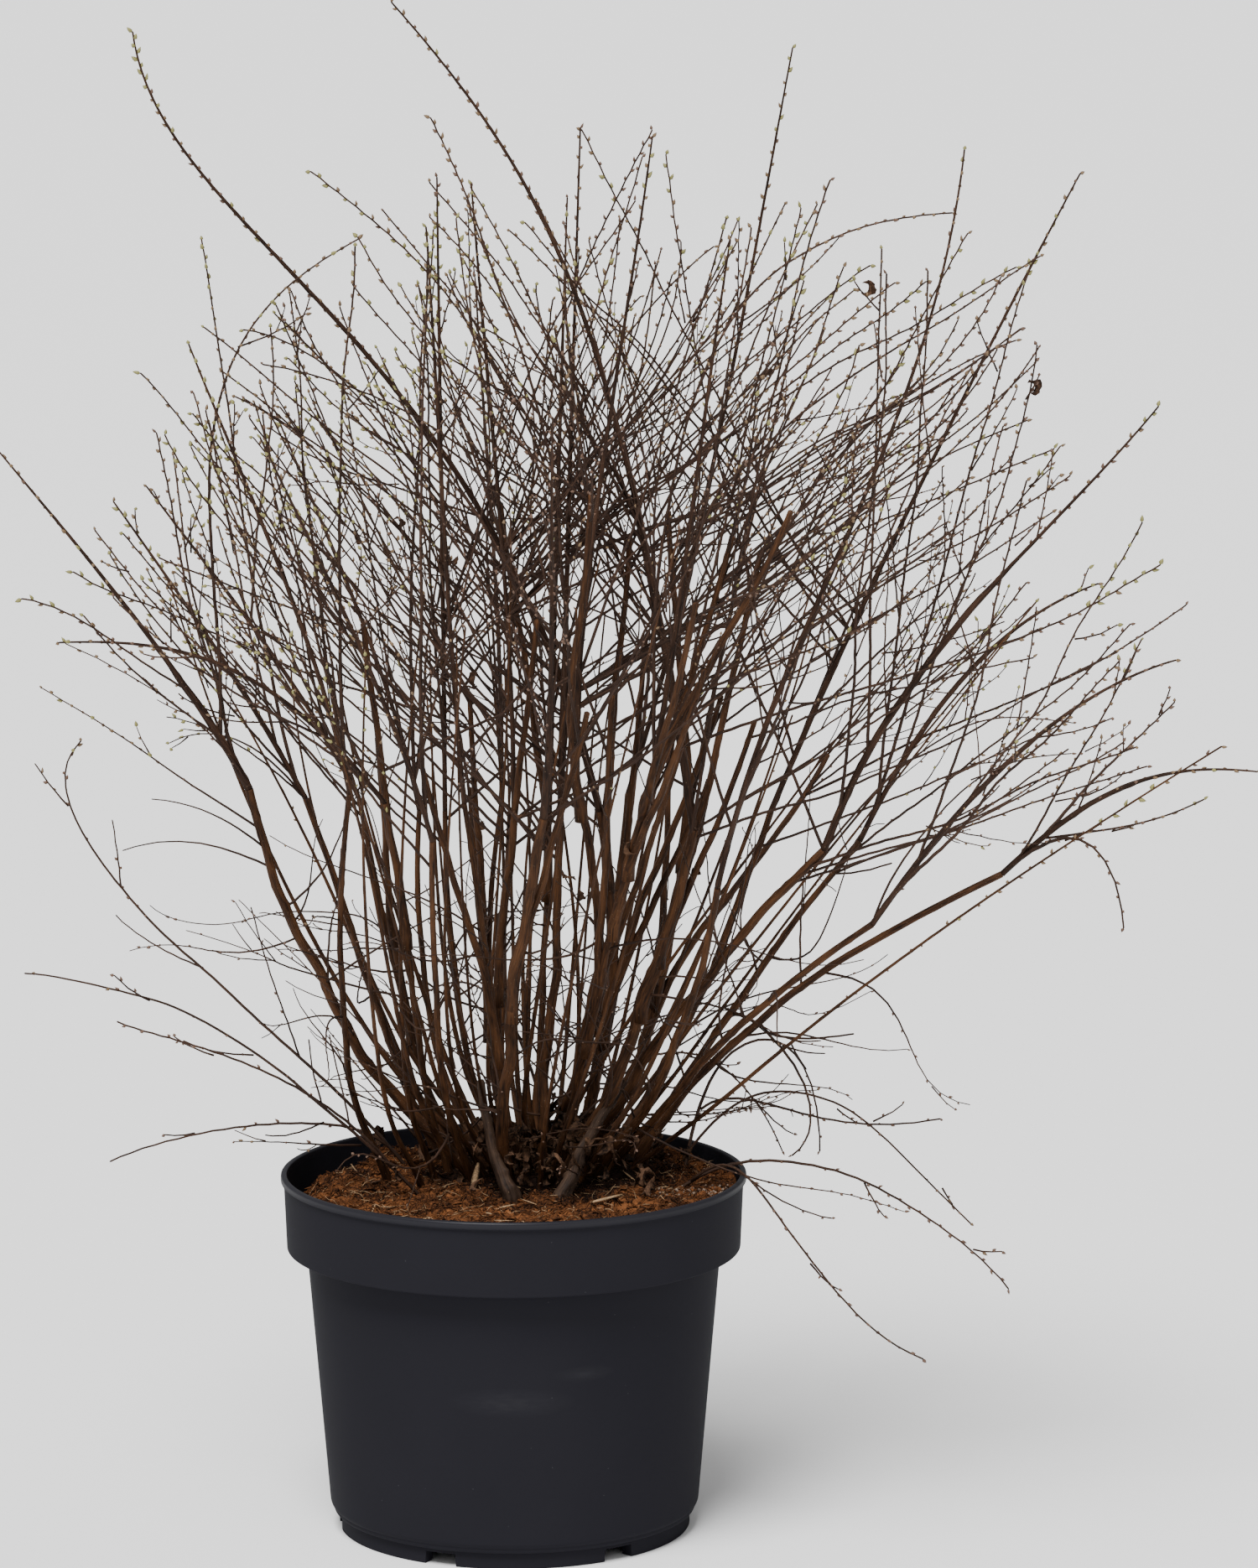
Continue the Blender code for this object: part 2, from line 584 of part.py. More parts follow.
def fused(name, limbs, root_heading, material):
    """A mass as one solid: its limbs joined by one union on a collection."""
    stem = placed(name, stem_mesh(name, limbs[0], root_heading), material)
    group = bpy.data.collections.new(name + "_limbs")
    for limb in limbs[1:]:
        group.objects.link(bpy.data.objects.new(name + "_limb", branch_mesh(name + "_limb", limb)))
    union = stem.modifiers.new("union", "BOOLEAN")
    union.operation = "UNION"
    union.operand_type = "COLLECTION"
    union.collection = group
    union.solver = "EXACT"
    joined = stem.evaluated_get(bpy.context.evaluated_depsgraph_get())
    mesh = bpy.data.meshes.new_from_object(joined)
    stem.modifiers.clear()
    stem.data = mesh
    keep_biggest_body(mesh)
    for branch in list(group.objects):
        bpy.data.objects.remove(branch)
    bpy.data.collections.remove(group)
    return stem


def turned(name, profile, material):
    """A solid of revolution from a profile of (radius, height) that starts and ends on the axis."""
    shape = bmesh.new()
    corners = [shape.verts.new((radius, 0.0, height)) for radius, height in profile]
    edges = [shape.edges.new(pair) for pair in zip(corners, corners[1:])]
    bmesh.ops.spin(shape, geom=corners + edges, cent=(0.0, 0.0, 0.0), axis=(0.0, 0.0, 1.0),
                   angle=math.tau, steps=POT_SIDES, use_merge=True)
    bmesh.ops.remove_doubles(shape, verts=shape.verts, dist=WELD)
    return placed(name, finished_mesh(name, shape), material)


def wall_radius(height):
    """The radius of the inside of the pot's tapering body at a height."""
    share = (height - BODY_FOOT) / (COLLAR_FOOT - BODY_FOOT)
    return BODY_FOOT_RADIUS + (BODY_TOP_RADIUS - BODY_FOOT_RADIUS) * share - WALL


def notch_cutter(turn):
    """A block that cuts one notch through the foot ring."""
    shape = bmesh.new()
    place = Matrix.Rotation(turn, 4, "Z") @ Matrix.Translation((RING_RADIUS - RING_WIDTH / 2, 0, 0))
    size = Matrix.Diagonal((NOTCH_DEPTH, NOTCH_WIDTH, NOTCH_HEIGHT * 2, 1.0))
    bmesh.ops.create_cube(shape, size=1.0, matrix=place @ size)
    block = bpy.data.objects.new("notch", finished_mesh("notch", shape))
    block.hide_render = True
    block.display_type = "WIRE"
    bpy.context.scene.collection.objects.link(block)
    return block


def pot(material):
    """The pot: foot ring with notches, centre pad, tapering body, collar and a rounded lip."""
    floor = FLOOR_UNDERSIDE + WALL
    lip_foot = POT_HEIGHT - LIP_HEIGHT
    profile = (
        (0.0, 0.0),
        (PAD_RADIUS, 0.0),
        (PAD_RADIUS + DRAFT, FLOOR_UNDERSIDE),
        (RING_RADIUS - RING_WIDTH - DRAFT, FLOOR_UNDERSIDE),
        (RING_RADIUS - RING_WIDTH, 0.0),
        (RING_RADIUS, 0.0),
        (RING_RADIUS, RING_HEIGHT),
        (BODY_FOOT_RADIUS, BODY_FOOT),
        (BODY_TOP_RADIUS, COLLAR_FOOT - LIP_ROUND),
        (COLLAR_FOOT_RADIUS, COLLAR_FOOT),
        (COLLAR_TOP_RADIUS, lip_foot),
        (LIP_RADIUS, lip_foot + LIP_ROUND),
        (LIP_RADIUS, POT_HEIGHT - LIP_ROUND),
        (LIP_RADIUS - LIP_ROUND, POT_HEIGHT),
        (LIP_RADIUS - LIP_WIDTH, POT_HEIGHT),
        (COLLAR_TOP_RADIUS - WALL, POT_HEIGHT - LIP_ROUND),
        (COLLAR_FOOT_RADIUS - WALL, COLLAR_FOOT + WALL),
        (wall_radius(COLLAR_FOOT), COLLAR_FOOT + LIP_ROUND),
        (wall_radius(floor), floor),
        (0.0, floor),
    )
    body = turned("pot", profile, material)
    for number in range(NOTCHES):
        cut = body.modifiers.new("notch", "BOOLEAN")
        cut.object = notch_cutter(FIRST_NOTCH + number * math.tau / NOTCHES)
        cut.operation = "DIFFERENCE"
        cut.solver = "EXACT"
    return body


def peat(material):
    """The peat that fills the pot, level under the clump and falling towards the wall."""
    floor = FLOOR_UNDERSIDE + WALL + PEAT_GAP
    step = COLLAR_FOOT + WALL + PEAT_GAP
    profile = (
        (0.0, floor),
        (wall_radius(floor) - PEAT_GAP, floor),
        (wall_radius(COLLAR_FOOT) - PEAT_GAP, step),
        (COLLAR_FOOT_RADIUS - WALL - PEAT_GAP * 2, step),
        (PEAT_EDGE_RADIUS, PEAT_EDGE),
        (PEAT_LEVEL_RADIUS, PEAT_LEVEL),
        (0.0, PEAT_LEVEL),
    )
    return turned("peat", profile, material)


def root_heading(name, canes):
    """Which way the flat root of a mass's stem faces: along its cane, up from the peat, or off it."""
    if name in canes:
        return heading(canes[name], 1.0)
    if name.removeprefix("low_") in LOW_STEMS:
        return UP
    return perch(canes)[1]


def finish(name, color, roughness):
    material = bpy.data.materials.new(name)
    material.use_nodes = True
    shader = material.node_tree.nodes["Principled BSDF"]
    shader.inputs["Base Color"].default_value = (*color, 1.0)
    shader.inputs["Roughness"].default_value = roughness
    shader.inputs["Metallic"].default_value = 0.0
    return material


def main():
    for piece in list(bpy.data.objects):
        bpy.data.objects.remove(piece)
    pot(finish("pot_plastic", POT_COLOR, POT_ROUGHNESS))
    peat(finish("peat", PEAT_COLOR, PEAT_ROUGHNESS))
    bark = finish("bark", BARK_COLOR, BARK_ROUGHNESS)
    twig_bark = finish("twig_bark", TWIG_COLOR, TWIG_ROUGHNESS)
    canes, masses = grow()
    for name, limb in canes.items():
        cane_object("cane_" + name, limb, bark)
    for name, limbs in masses.items():
        fused("twigs_" + name, limbs, root_heading(name, canes), twig_bark)


if __name__ == "__main__":
    main()
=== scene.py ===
"""The looks of the potted spirea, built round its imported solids: bark, twigs, buds, peat and pot.

Metres, +Z up, with the front of the plant towards -Y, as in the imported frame. The limbs grow by the
rule of the part's source, written again here, and then on to the finer shoots, twigs and sprigs.
"""

import math
from collections import namedtuple
from functools import lru_cache

import bpy
import numpy as np
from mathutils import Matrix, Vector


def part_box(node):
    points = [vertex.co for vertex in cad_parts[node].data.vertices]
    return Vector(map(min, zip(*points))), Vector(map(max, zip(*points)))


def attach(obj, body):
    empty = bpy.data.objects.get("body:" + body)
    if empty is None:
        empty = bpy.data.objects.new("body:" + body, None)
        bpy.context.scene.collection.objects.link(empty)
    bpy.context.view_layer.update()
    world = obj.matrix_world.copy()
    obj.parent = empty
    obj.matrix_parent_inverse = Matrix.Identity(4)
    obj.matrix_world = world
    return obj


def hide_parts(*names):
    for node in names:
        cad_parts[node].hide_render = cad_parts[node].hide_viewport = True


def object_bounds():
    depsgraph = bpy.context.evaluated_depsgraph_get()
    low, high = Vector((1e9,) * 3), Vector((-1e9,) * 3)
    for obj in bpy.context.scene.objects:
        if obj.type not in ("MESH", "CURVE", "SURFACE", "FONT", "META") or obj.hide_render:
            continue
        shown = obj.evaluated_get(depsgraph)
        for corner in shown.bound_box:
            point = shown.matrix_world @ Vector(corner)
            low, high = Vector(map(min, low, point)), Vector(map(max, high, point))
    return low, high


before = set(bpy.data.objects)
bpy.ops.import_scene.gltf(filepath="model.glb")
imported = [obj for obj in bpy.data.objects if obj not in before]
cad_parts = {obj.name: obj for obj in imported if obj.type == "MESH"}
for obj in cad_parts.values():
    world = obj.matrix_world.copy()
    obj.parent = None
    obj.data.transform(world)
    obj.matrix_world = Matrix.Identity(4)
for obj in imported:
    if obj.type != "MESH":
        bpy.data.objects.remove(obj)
CAD_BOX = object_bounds()

bl_info = {
    "name": "Potted spirea",
    "version": (1, 0, 0),
    "blender": (4, 5, 0),
    "location": "3D View > Sidebar > Spirea",
    "description": "Builds the pot, peat, bark, twigs, buds and dead leaves of a potted spirea",
    "category": "Add Mesh",
}

POT_LOW, POT_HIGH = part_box("pot")
PEAT_LOW, PEAT_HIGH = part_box("peat")

# What the source's limbs and this file's share: see the same names in the part's source
TOUCH = 0.0003
POT_HEIGHT = POT_HIGH.z
LIP_RADIUS = POT_HIGH.x
PEAT_LEVEL = PEAT_HIGH.z
CANE_TIP_SHARE = 0.60
FOOT_FLARE = 1.38
STEM_THICKNESS_SHARE = 0.94
SHOOT_THICKNESS = 0.0045
LOW_STEM_THICKNESS = 0.0040
LOW_BRANCH_THICKNESS = 0.0032
SHOOT_TIP_THICKNESS = 0.0016
TWIG_THICKNESS = 0.0026
TWIG_TIP_THICKNESS = 0.0013
CROWN_MIDDLE = np.array((0.090, 0.010, 0.640))
CROWN_REACH = np.array((0.480, 0.440, 0.500))
CROWN_MARGIN = 1.04
SHOOT_CLEARANCE = 0.0030
TWIG_CLEARANCE = 0.0050
OWN_CLEARANCE = 0.0020
TWIG_ROOT = 0.022
GROWN_ROOT = 0.050
LOW_ROOT = 0.060
BRANCH_ROOT = 0.090
RIM_CLEARANCE = 0.004
RIM_WIDTH = 0.012
SAMPLE_STEP = 0.006
ROOM_RUNS = 12
SIDE_STEPS = (0.0, 0.008, -0.008, 0.016, -0.016, 0.026, -0.026, 0.038, -0.038, 0.050, -0.050)
FIRST_BRANCH = 0.05
BRANCH_STEP = 0.09
ARCH = 0.03
FOLLOW = 0.6
FOLLOW_SHARE = 0.32
SEED = 27
GROWN_SHOOTS = 2
ATTEMPTS = 8
FIRST_GROWN = 0.08
GROWN_STEP = 0.085
GROWN_SPREAD = (-0.02, 0.02)
GROWN_LEAVE = (20.0, 38.0)
GROWN_FILL = (0.74, 1.0)
GROWN_REACH = (0.14, 0.50)
GROWN_LIFT = 0.15
GROWN_THICKNESS = (0.0025, 0.0027)
TURN = math.radians(137.5)
TURN_SPREAD = (-0.4, 0.4)
TWIG_SEED = 50
TWIG_SPACING = 0.030
TWIG_EVERY = 4
TWIG_SHARES = (0.16, 0.94)
TWIG_LEAVE = (30.0, 48.0)
TWIG_REACH_SHARE = 0.36
TWIG_REACH_END = 1.12
TWIG_REACH_SPREAD = (0.6, 1.15)
TWIG_REACH = (0.022, 0.170)
TWIG_LIFT = 0.12
UP = np.array((0.0, 0.0, 1.0))

# Each cane: foot x and y on the peat, the fork it ends at, its thickness, its sideways bow
Cane = namedtuple("Cane", "foot fork thickness bow")
CANES = {
    "left_1": Cane((-0.055, 0.050), (-0.223, -0.020, 0.645), 0.0130, -0.033),
    "left_2": Cane((-0.124, 0.005), (-0.132, -0.150, 0.662), 0.0080, -0.020),
    "left_3": Cane((-0.080, 0.100), (-0.182, 0.110, 0.616), 0.0095, 0.004),
    "left_4": Cane((-0.060, 0.078), (-0.132, 0.030, 0.629), 0.0080, -0.005),
    "left_5": Cane((-0.072, 0.025), (-0.105, -0.090, 0.644), 0.0080, 0.006),
    "left_6": Cane((-0.045, 0.122), (-0.086, 0.190, 0.592), 0.0080, -0.020),
    "left_7": Cane((-0.048, -0.020), (-0.062, -0.210, 0.632), 0.0080, -0.008),
    "left_8": Cane((-0.020, 0.085), (-0.060, 0.080, 0.610), 0.0080, -0.014),
    "middle_1": Cane((-0.002, -0.010), (-0.038, -0.120, 0.649), 0.0080, 0.004),
    "middle_2": Cane((-0.014, 0.128), (-0.015, 0.240, 0.588), 0.0080, -0.015),
    "middle_3": Cane((-0.012, 0.045), (0.001, -0.010, 0.624), 0.0080, -0.010),
    "middle_4": Cane((-0.012, -0.040), (0.029, -0.200, 0.650), 0.0135, -0.010),
    "middle_5": Cane((0.012, 0.096), (0.029, 0.140, 0.590), 0.0090, 0.004),
    "middle_6": Cane((0.018, 0.020), (0.040, 0.030, 0.605), 0.0120, 0.005),
    "middle_7": Cane((0.018, 0.062), (0.055, -0.100, 0.657), 0.0120, 0.045),
    "middle_8": Cane((0.054, 0.106), (0.074, 0.060, 0.613), 0.0130, 0.024),
    "right_1": Cane((0.042, 0.140), (0.098, 0.250, 0.598), 0.0090, 0.010),
    "right_2": Cane((0.040, 0.028), (0.116, -0.150, 0.667), 0.0095, -0.006),
    "right_3": Cane((0.046, -0.018), (0.154, -0.020, 0.610), 0.0140, 0.012),
    "right_4": Cane((0.082, 0.118), (0.147, 0.190, 0.560), 0.0080, 0.010),
    "right_5": Cane((0.078, 0.008), (0.172, -0.170, 0.586), 0.0100, 0.020),
    "right_6": Cane((0.086, 0.080), (0.223, 0.140, 0.600), 0.0100, 0.012),
    "right_7": Cane((0.064, 0.048), (0.263, -0.060, 0.599), 0.0125, -0.030),
    "right_8": Cane((0.112, 0.098), (0.299, 0.100, 0.580), 0.0095, -0.016),
    "right_9": Cane((0.098, 0.036), (0.300, -0.160, 0.554), 0.0095, -0.040),
    "right_10": Cane((0.120, 0.062), (0.418, 0.020, 0.565), 0.0100, -0.082),
}

# The tips that make the crown's outline, each on its cane. A tip is followed, where the shoot is
# not a plain gentle arch, by how far x and z bow from the straight near the cane and near the tip
TIPS = {
    "left_1": ((-0.430, -0.02, 0.932), (-0.300, 0.03, 0.945),
               (-0.125, -0.03, 1.110, -0.04, 0.12, -0.12, 0.06)),
    "left_2": ((-0.260, -0.16, 1.035), (-0.125, -0.17, 1.115)),
    "left_3": ((-0.348, 0.14, 0.872), (-0.268, 0.16, 1.095)),
    "left_4": ((-0.312, 0.05, 0.895), (-0.190, 0.04, 1.060)),
    "left_5": ((-0.370, -0.15, 0.788, 0.00, 0.07, 0.02, 0.05), (-0.205, -0.13, 0.985)),
    "left_6": ((-0.220, 0.36, 0.930), (-0.075, 0.25, 1.100)),
    "left_7": ((-0.190, -0.37, 0.980), (-0.062, -0.25, 1.120)),
    "left_8": ((-0.065, 0.10, 1.155),),
    "middle_1": ((-0.066, -0.16, 1.130),),
    "middle_2": ((-0.040, 0.41, 1.040),),
    "middle_3": ((-0.033, 0.00, 1.155),),
    "middle_4": ((0.040, -0.42, 1.000),),
    "middle_5": ((0.045, 0.22, 1.130),),
    "middle_6": ((0.058, 0.03, 1.200), (-0.168, 0.05, 1.165, 0.10, 0.10, 0.10, 0.04)),
    "middle_7": ((0.118, -0.14, 1.202), (-0.063, -0.10, 1.215, 0.03, 0.08, 0.02, 0.06)),
    "middle_8": ((-0.312, -0.04, 1.283, 0.03, 0.20, -0.11, 0.05),),
    "right_1": ((0.240, 0.17, 1.262, 0.02, 0.00, 0.00, -0.04), (0.130, 0.45, 0.950)),
    "right_2": ((0.180, -0.24, 1.125), (0.361, -0.14, 1.140, -0.09, 0.16, -0.09, 0.14)),
    "right_3": ((-0.097, -0.05, 1.308, 0.02, 0.20, 0.05, 0.08), (0.245, 0.00, 1.132)),
    "right_4": ((0.255, 0.40, 1.020),),
    "right_5": ((0.369, -0.20, 1.195, -0.02, 0.02, 0.04, -0.04), (0.290, -0.40, 0.930)),
    "right_6": ((0.484, 0.10, 1.158), (0.400, 0.26, 0.980)),
    "right_7": ((0.538, -0.08, 0.976, -0.03, 0.05, 0.00, 0.01),
                (0.441, 0.02, 1.018, -0.01, -0.02, 0.03, -0.08)),
    "right_8": ((0.505, 0.12, 0.803, 0.00, 0.07, 0.00, 0.05), (0.437, 0.06, 1.080)),
    "right_9": ((0.550, -0.14, 0.772, 0.00, 0.05, 0.00, 0.05), (0.490, -0.34, 0.800)),
    "right_10": ((0.633, 0.00, 0.657, 0.00, 0.04, -0.02, 0.04),
                 (0.518, -0.04, 0.528, 0.01, 0.05, 0.02, 0.07), (0.570, 0.09, 0.705)),
}

# The low masses. Each stem is its start, on the peat or against a cane, two guiding corners and its
# tip. Each branch is its share of the stem's run, two guiding corners and its tip
LOW_STEMS = {
    "left_1": ((-0.092, 0.062, PEAT_LEVEL + TOUCH), (-0.196, 0.070, 0.430),
               (-0.450, 0.080, 0.590), (-0.374, 0.060, 0.672)),
    "left_2": ((-0.076, -0.052, PEAT_LEVEL + TOUCH), (-0.150, -0.070, 0.385),
               (-0.280, -0.110, 0.500), (-0.404, -0.130, 0.508)),
    "right_1": ((0.146, 0.022, PEAT_LEVEL + TOUCH), (0.165, 0.060, 0.440),
                (0.270, 0.080, 0.460), (0.268, 0.085, 0.312)),
    "right_2": ((0.138, -0.030, PEAT_LEVEL + TOUCH), (0.190, -0.030, 0.350),
                (0.340, -0.040, 0.325), (0.424, -0.050, 0.218)),
    "back_1": ((0.030, 0.145, PEAT_LEVEL + TOUCH), (0.010, 0.230, 0.430),
               (-0.060, 0.340, 0.450), (-0.110, 0.390, 0.360)),
}
# The low mass that hangs from a cane: the cane, the share of its run, the way the stem leaves it,
# and the stem's two guiding corners and its tip
PERCH = ("right_8", 0.47, (0.60, -0.45, -0.20))
PERCHED_STEM = ((0.225, 0.050, 0.440), (0.285, 0.020, 0.350), (0.240, 0.020, 0.318))
LOW_BRANCHES = {
    "left_1": ((0.05, (-0.160, 0.060, 0.360), (-0.270, 0.030, 0.345), (-0.348, 0.020, 0.315)),),
    "left_2": ((0.10, (-0.170, -0.100, 0.425), (-0.250, -0.150, 0.435), (-0.326, -0.170, 0.475)),),
    "right_1": ((0.06, (0.210, 0.020, 0.400), (0.290, 0.000, 0.390), (0.395, -0.020, 0.268)),
                (0.16, (0.200, 0.060, 0.380), (0.280, 0.080, 0.320), (0.374, 0.100, 0.335))),
    "right_2": ((0.08, (0.215, -0.070, 0.375), (0.222, -0.120, 0.230), (0.348, -0.100, 0.172)),),
    "right_3": ((0.20, (0.225, 0.000, 0.420), (0.260, -0.020, 0.425), (0.290, -0.040, 0.435)),),
    "back_1": ((0.06, (0.090, 0.230, 0.385), (0.190, 0.310, 0.380), (0.240, 0.350, 0.250)),),
}

# The finer limbs that only this file has
SUCKERS = 110
SUCKER_INWARD = (0.10, 0.45)
SUCKER_BEND = 0.013
SUCKER_OFFSET = (0.008, 0.036)
SUCKER_THICKNESS = (0.0036, 0.0068)
GIRTH_FALL = 1.35
CANE_GIRTH = 0.82
STEM_GIRTH = 0.95
SHOOT_GIRTH = 0.86
TWIG_GIRTH = 0.72
LEAN_AXIS = np.array((0.085, 0.010))
LEAN = (0.80, 0.55)
LEAN_EASE = (0.012, 0.100)
LEAN_RIGHT = 1.0
LEAN_RIGHT_START = 0.15
LONG_OUTER_LOSS = 2.4
FORK_OUTER_LOSS = 3.4
LONG_CLEARANCE = 0.0010
KNUCKLE_HEIGHT = (0.66, 0.86)
KNUCKLE_LAST = 0.52
KNUCKLE_SPREAD = 0.11
KNUCKLE_FALL = 0.07
KNUCKLE_THICKNESS = 0.0062
KNUCKLE_SHOOTS = 1
FORK_SHOOTS = 1
FORK_SPREAD = 0.10
CUT_THICKNESS = (0.0082, 0.0048)
CUT_LEAVE = (0.16, 0.14)
CUT_REACH = (0.30, 0.12)
CUT_SHARES = (0.82, 1.0)
LONG_CROSS = 0.20
LONG_CROSS_WIDTH = 0.07
LONG_SPREAD = 0.21
CUT_SPREAD = 0.30
LONG_FILL = (0.70, 1.15)
LONG_REACH = (0.16, 0.60)
LONG_RISE = (-0.04, 0.08)
LONG_BOW = 0.060
LONG_LEAST_RISE = 0.25
LONG_CROWN = 0.80
LONG_THICKNESS = (0.0018, 0.0028)
LONG_TIP_THICKNESS = 0.0016
SEEN_LEAVE = (0.55, 0.35)
SEEN_REACH = (0.33, 0.12)
SEEN_SLANT = 0.14
SEEN_START = 0.50
SEEN_DEPTH = 0.78
GOLDEN_SHARE = 0.618
FINE_CROWN = 0.94
FINE_START = 0.60
FINE_EVERY = 12
FINE_TWIG_THICKNESS = (0.0013, 0.0018)
FINE_LEAVE = (22.0, 44.0)
SPRIG_SHARE = 0.12
SPRIG_SPACING = 0.040
SPRIG_SHARES = (0.14, 0.80)
SPRIG_REACH = (0.016, 0.060)
SPRIG_THICKNESS = 0.0013
FINE_TIP_THICKNESS = 0.0009
BOX_MARGIN = 0.004
BARE_BELOW = 0.66
WANDER = 0.022
TANGLE_TWIGS = 150
TANGLE_THICKNESS = (0.0017, 0.0026)
TANGLE_SHARES = (0.03, 0.72)
TANGLE_REACH = (0.06, 0.24)

# The middle of the clump on the peat, towards which painted shade darkens the peat's colour
CLUMP = (0.035, 0.030, 0.300)

# How far the feet are drawn in to it: the share of the way, the most, and the height it fades over
FOOT_DRAW = (0.32, 0.016, 0.055)

# The camera that stands where the photo's stood, and the photo's size in pixels
CAMERA_X = 0.099
CAMERA_DISTANCE = 5.2
CAMERA_HEIGHT = 1.47
CAMERA_DROP = math.radians(9.0)
LENS = 142.07
SENSOR = 36.0
PHOTO_SIZE = (1500, 1870)

# Tips of long thin shoots that stand out in the photo, in its pixels, read off it
SEEN_TIPS = (
    (200, 515), (230, 530), (233, 488), (240, 393), (265, 436), (296, 477), (307, 458), (299, 497),
    (370, 498), (374, 492), (385, 520), (396, 515), (418, 495), (458, 469), (209, 672), (290, 390),
    (150, 640), (260, 560), (278, 536), (317, 537), (330, 600), (334, 624), (387, 647), (375, 607),
    (175, 700), (270, 728), (338, 385), (420, 340), (463, 252), (533, 328), (547, 365), (632, 268),
    (643, 240), (765, 190), (758, 240), (812, 288), (788, 298), (737, 262), (877, 295), (957, 245),
    (958, 328), (880, 355), (865, 365), (886, 360), (836, 383), (919, 373), (939, 404), (969, 429),
    (992, 446), (861, 453), (1020, 344), (1038, 318), (1067, 334), (1087, 265), (1088, 318),
    (1105, 338), (1138, 335), (1190, 330), (1208, 322), (1237, 310), (1215, 392), (1236, 415),
    (1213, 393), (590, 300), (690, 330), (1040, 350), (998, 345), (1152, 440), (1153, 486),
    (1257, 535), (1280, 565), (1253, 613), (1333, 776), (1340, 882), (1363, 917), (1167, 605),
    (1072, 478), (1089, 490), (1073, 515), (1039, 545), (1074, 615), (1050, 588), (1186, 743),
    (1152, 630), (1275, 858), (1277, 897), (1035, 570), (1070, 575), (1130, 620), (1010, 640),
    (1063, 1030), (1230, 700), (1100, 470), (344, 350), (427, 285), (516, 259), (518, 219),
    (562, 221), (563, 239), (613, 278), (694, 155), (777, 158), (767, 215), (525, 322), (642, 342),
    (502, 403), (539, 430), (582, 390), (599, 415), (885, 417), (355, 457), (707, 375), (741, 390),
    (760, 357), (784, 373), (910, 455), (660, 400), (680, 430), (820, 430), (730, 300), (800, 330),
    (700, 290), (850, 300), (755, 210), (690, 215),
)

# Where old stems that were cut back end, in the photo's pixels, and how many shoots each bears
CUT_STEMS = (
    (943, 610, 13), (906, 660, 5), (873, 640, 9), (797, 610, 9), (751, 640, 5), (705, 590, 5),
    (597, 600, 5), (433, 744, 3), (987, 900, 4), (860, 830, 1), (700, 850, 1), (560, 830, 1),
    (640, 740, 1), (830, 720, 1), (770, 760, 1), (730, 830, 1), (800, 860, 1), (900, 860, 1),
    (840, 800, 1), (875, 800, 1), (815, 880, 1), (760, 900, 1), (845, 930, 1), (500, 900, 1),
    (560, 940, 1), (450, 880, 1),
)

# Thin shoots that leave a cane low on the sides: the cane, the share of its run, how far forward
# the shoot goes, and its two guiding corners and its tip in the photo's pixels
SIDE_SHOOTS = (
    ("left_1", 0.99, -0.03, (290, 910), (230, 830), (77, 768)),
    ("left_1", 0.90, 0.02, (240, 940), (150, 880), (50, 822)),
    ("left_1", 0.85, -0.04, (290, 990), (250, 958), (183, 954)),
    ("left_1", 0.80, 0.03, (280, 1012), (220, 990), (147, 1014)),
    ("left_3", 1.00, -0.03, (310, 880), (245, 862), (200, 888)),
    ("left_3", 1.00, -0.06, (330, 920), (260, 865), (197, 855)),
    ("right_9", 1.00, 0.02, (1100, 940), (1170, 905), (1277, 897)),
    ("right_7", 1.00, -0.02, (1095, 870), (1170, 840), (1275, 858)),
)

# The two old stumps in front: four guiding places, each a pixel of the photo and a depth, and the
# thickness at the foot and at the top
STUMPS = (
    (((604, 1434), -0.086), ((570, 1388), -0.070), ((582, 1360), -0.050), ((572, 1290), -0.006),
     0.0125, 0.0070),
    (((668, 1438), -0.092), ((684, 1396), -0.070), ((708, 1362), -0.045), ((744, 1290), -0.004),
     0.0130, 0.0075),
)
STUMP_GNARLS = 2.2

# Wood slivers that stand out on the peat: the photo's pixel, length, width, how steeply they stand
# in degrees, and which way they point from above
SLIVERS = (
    ((564, 1432), 0.026, 0.0060, 50.0, 75.0), ((704, 1451), 0.030, 0.0045, 8.0, 25.0),
    ((760, 1420), 0.020, 0.0045, 20.0, 130.0), ((525, 1440), 0.018, 0.0045, 12.0, 40.0),
    ((640, 1448), 0.015, 0.0040, 15.0, 160.0), ((595, 1452), 0.014, 0.0035, 10.0, 10.0),
    ((660, 1405), 0.018, 0.0050, 35.0, 30.0), ((790, 1432), 0.016, 0.0040, 10.0, 60.0),
)
BARK_CHIP = ((407, 1392), 0.042, 0.0085, 3.0, 12.0)
PALE_SPOT = (835, 1432)
PALE_CRUMBS = 170
PALE_SPREAD = (0.024, 0.013)
PALE_COLOR = (0.27, 0.195, 0.145)

# The scuffed patches on the pot's front: where, in the photo's pixels, and how far they reach
SCUFFS = (((610, 1672), 0.055), ((384, 1600), 0.040), ((700, 1640), 0.030))
SCUFF_DEPTH = -0.165
SCUFF_STRETCH = (1.0, 1.0, 4.0)
SCUFF_STRENGTH = 0.16

# Where dead leaves hang in the crown, in the photo's pixels
LEAF_PLACES = ((529, 680), (529, 797), (637, 803), (427, 630), (483, 624), (556, 833), (276, 589),
               (1077, 277), (1236, 499), (917, 459), (480, 1218), (582, 1177), (532, 681),
               (701, 663), (632, 797), (606, 970), (685, 1026), (692, 1053), (566, 1003),
               (808, 1020), (755, 997), (609, 901), (552, 834), (825, 682), (718, 948))


# A limb: its four guiding corners, its thickness at both ends and, for a stem that was once cut
# back, the share of its run where it turns as thin as a shoot
Limb = namedtuple("Limb", "corners thick thin knuckle", defaults=(0.0,))

# A shape: its points, its triangles as rows of point numbers, and where each corner of a triangle
# lies on the bark, in metres round it and along it
Shape = namedtuple("Shape", "points faces places")


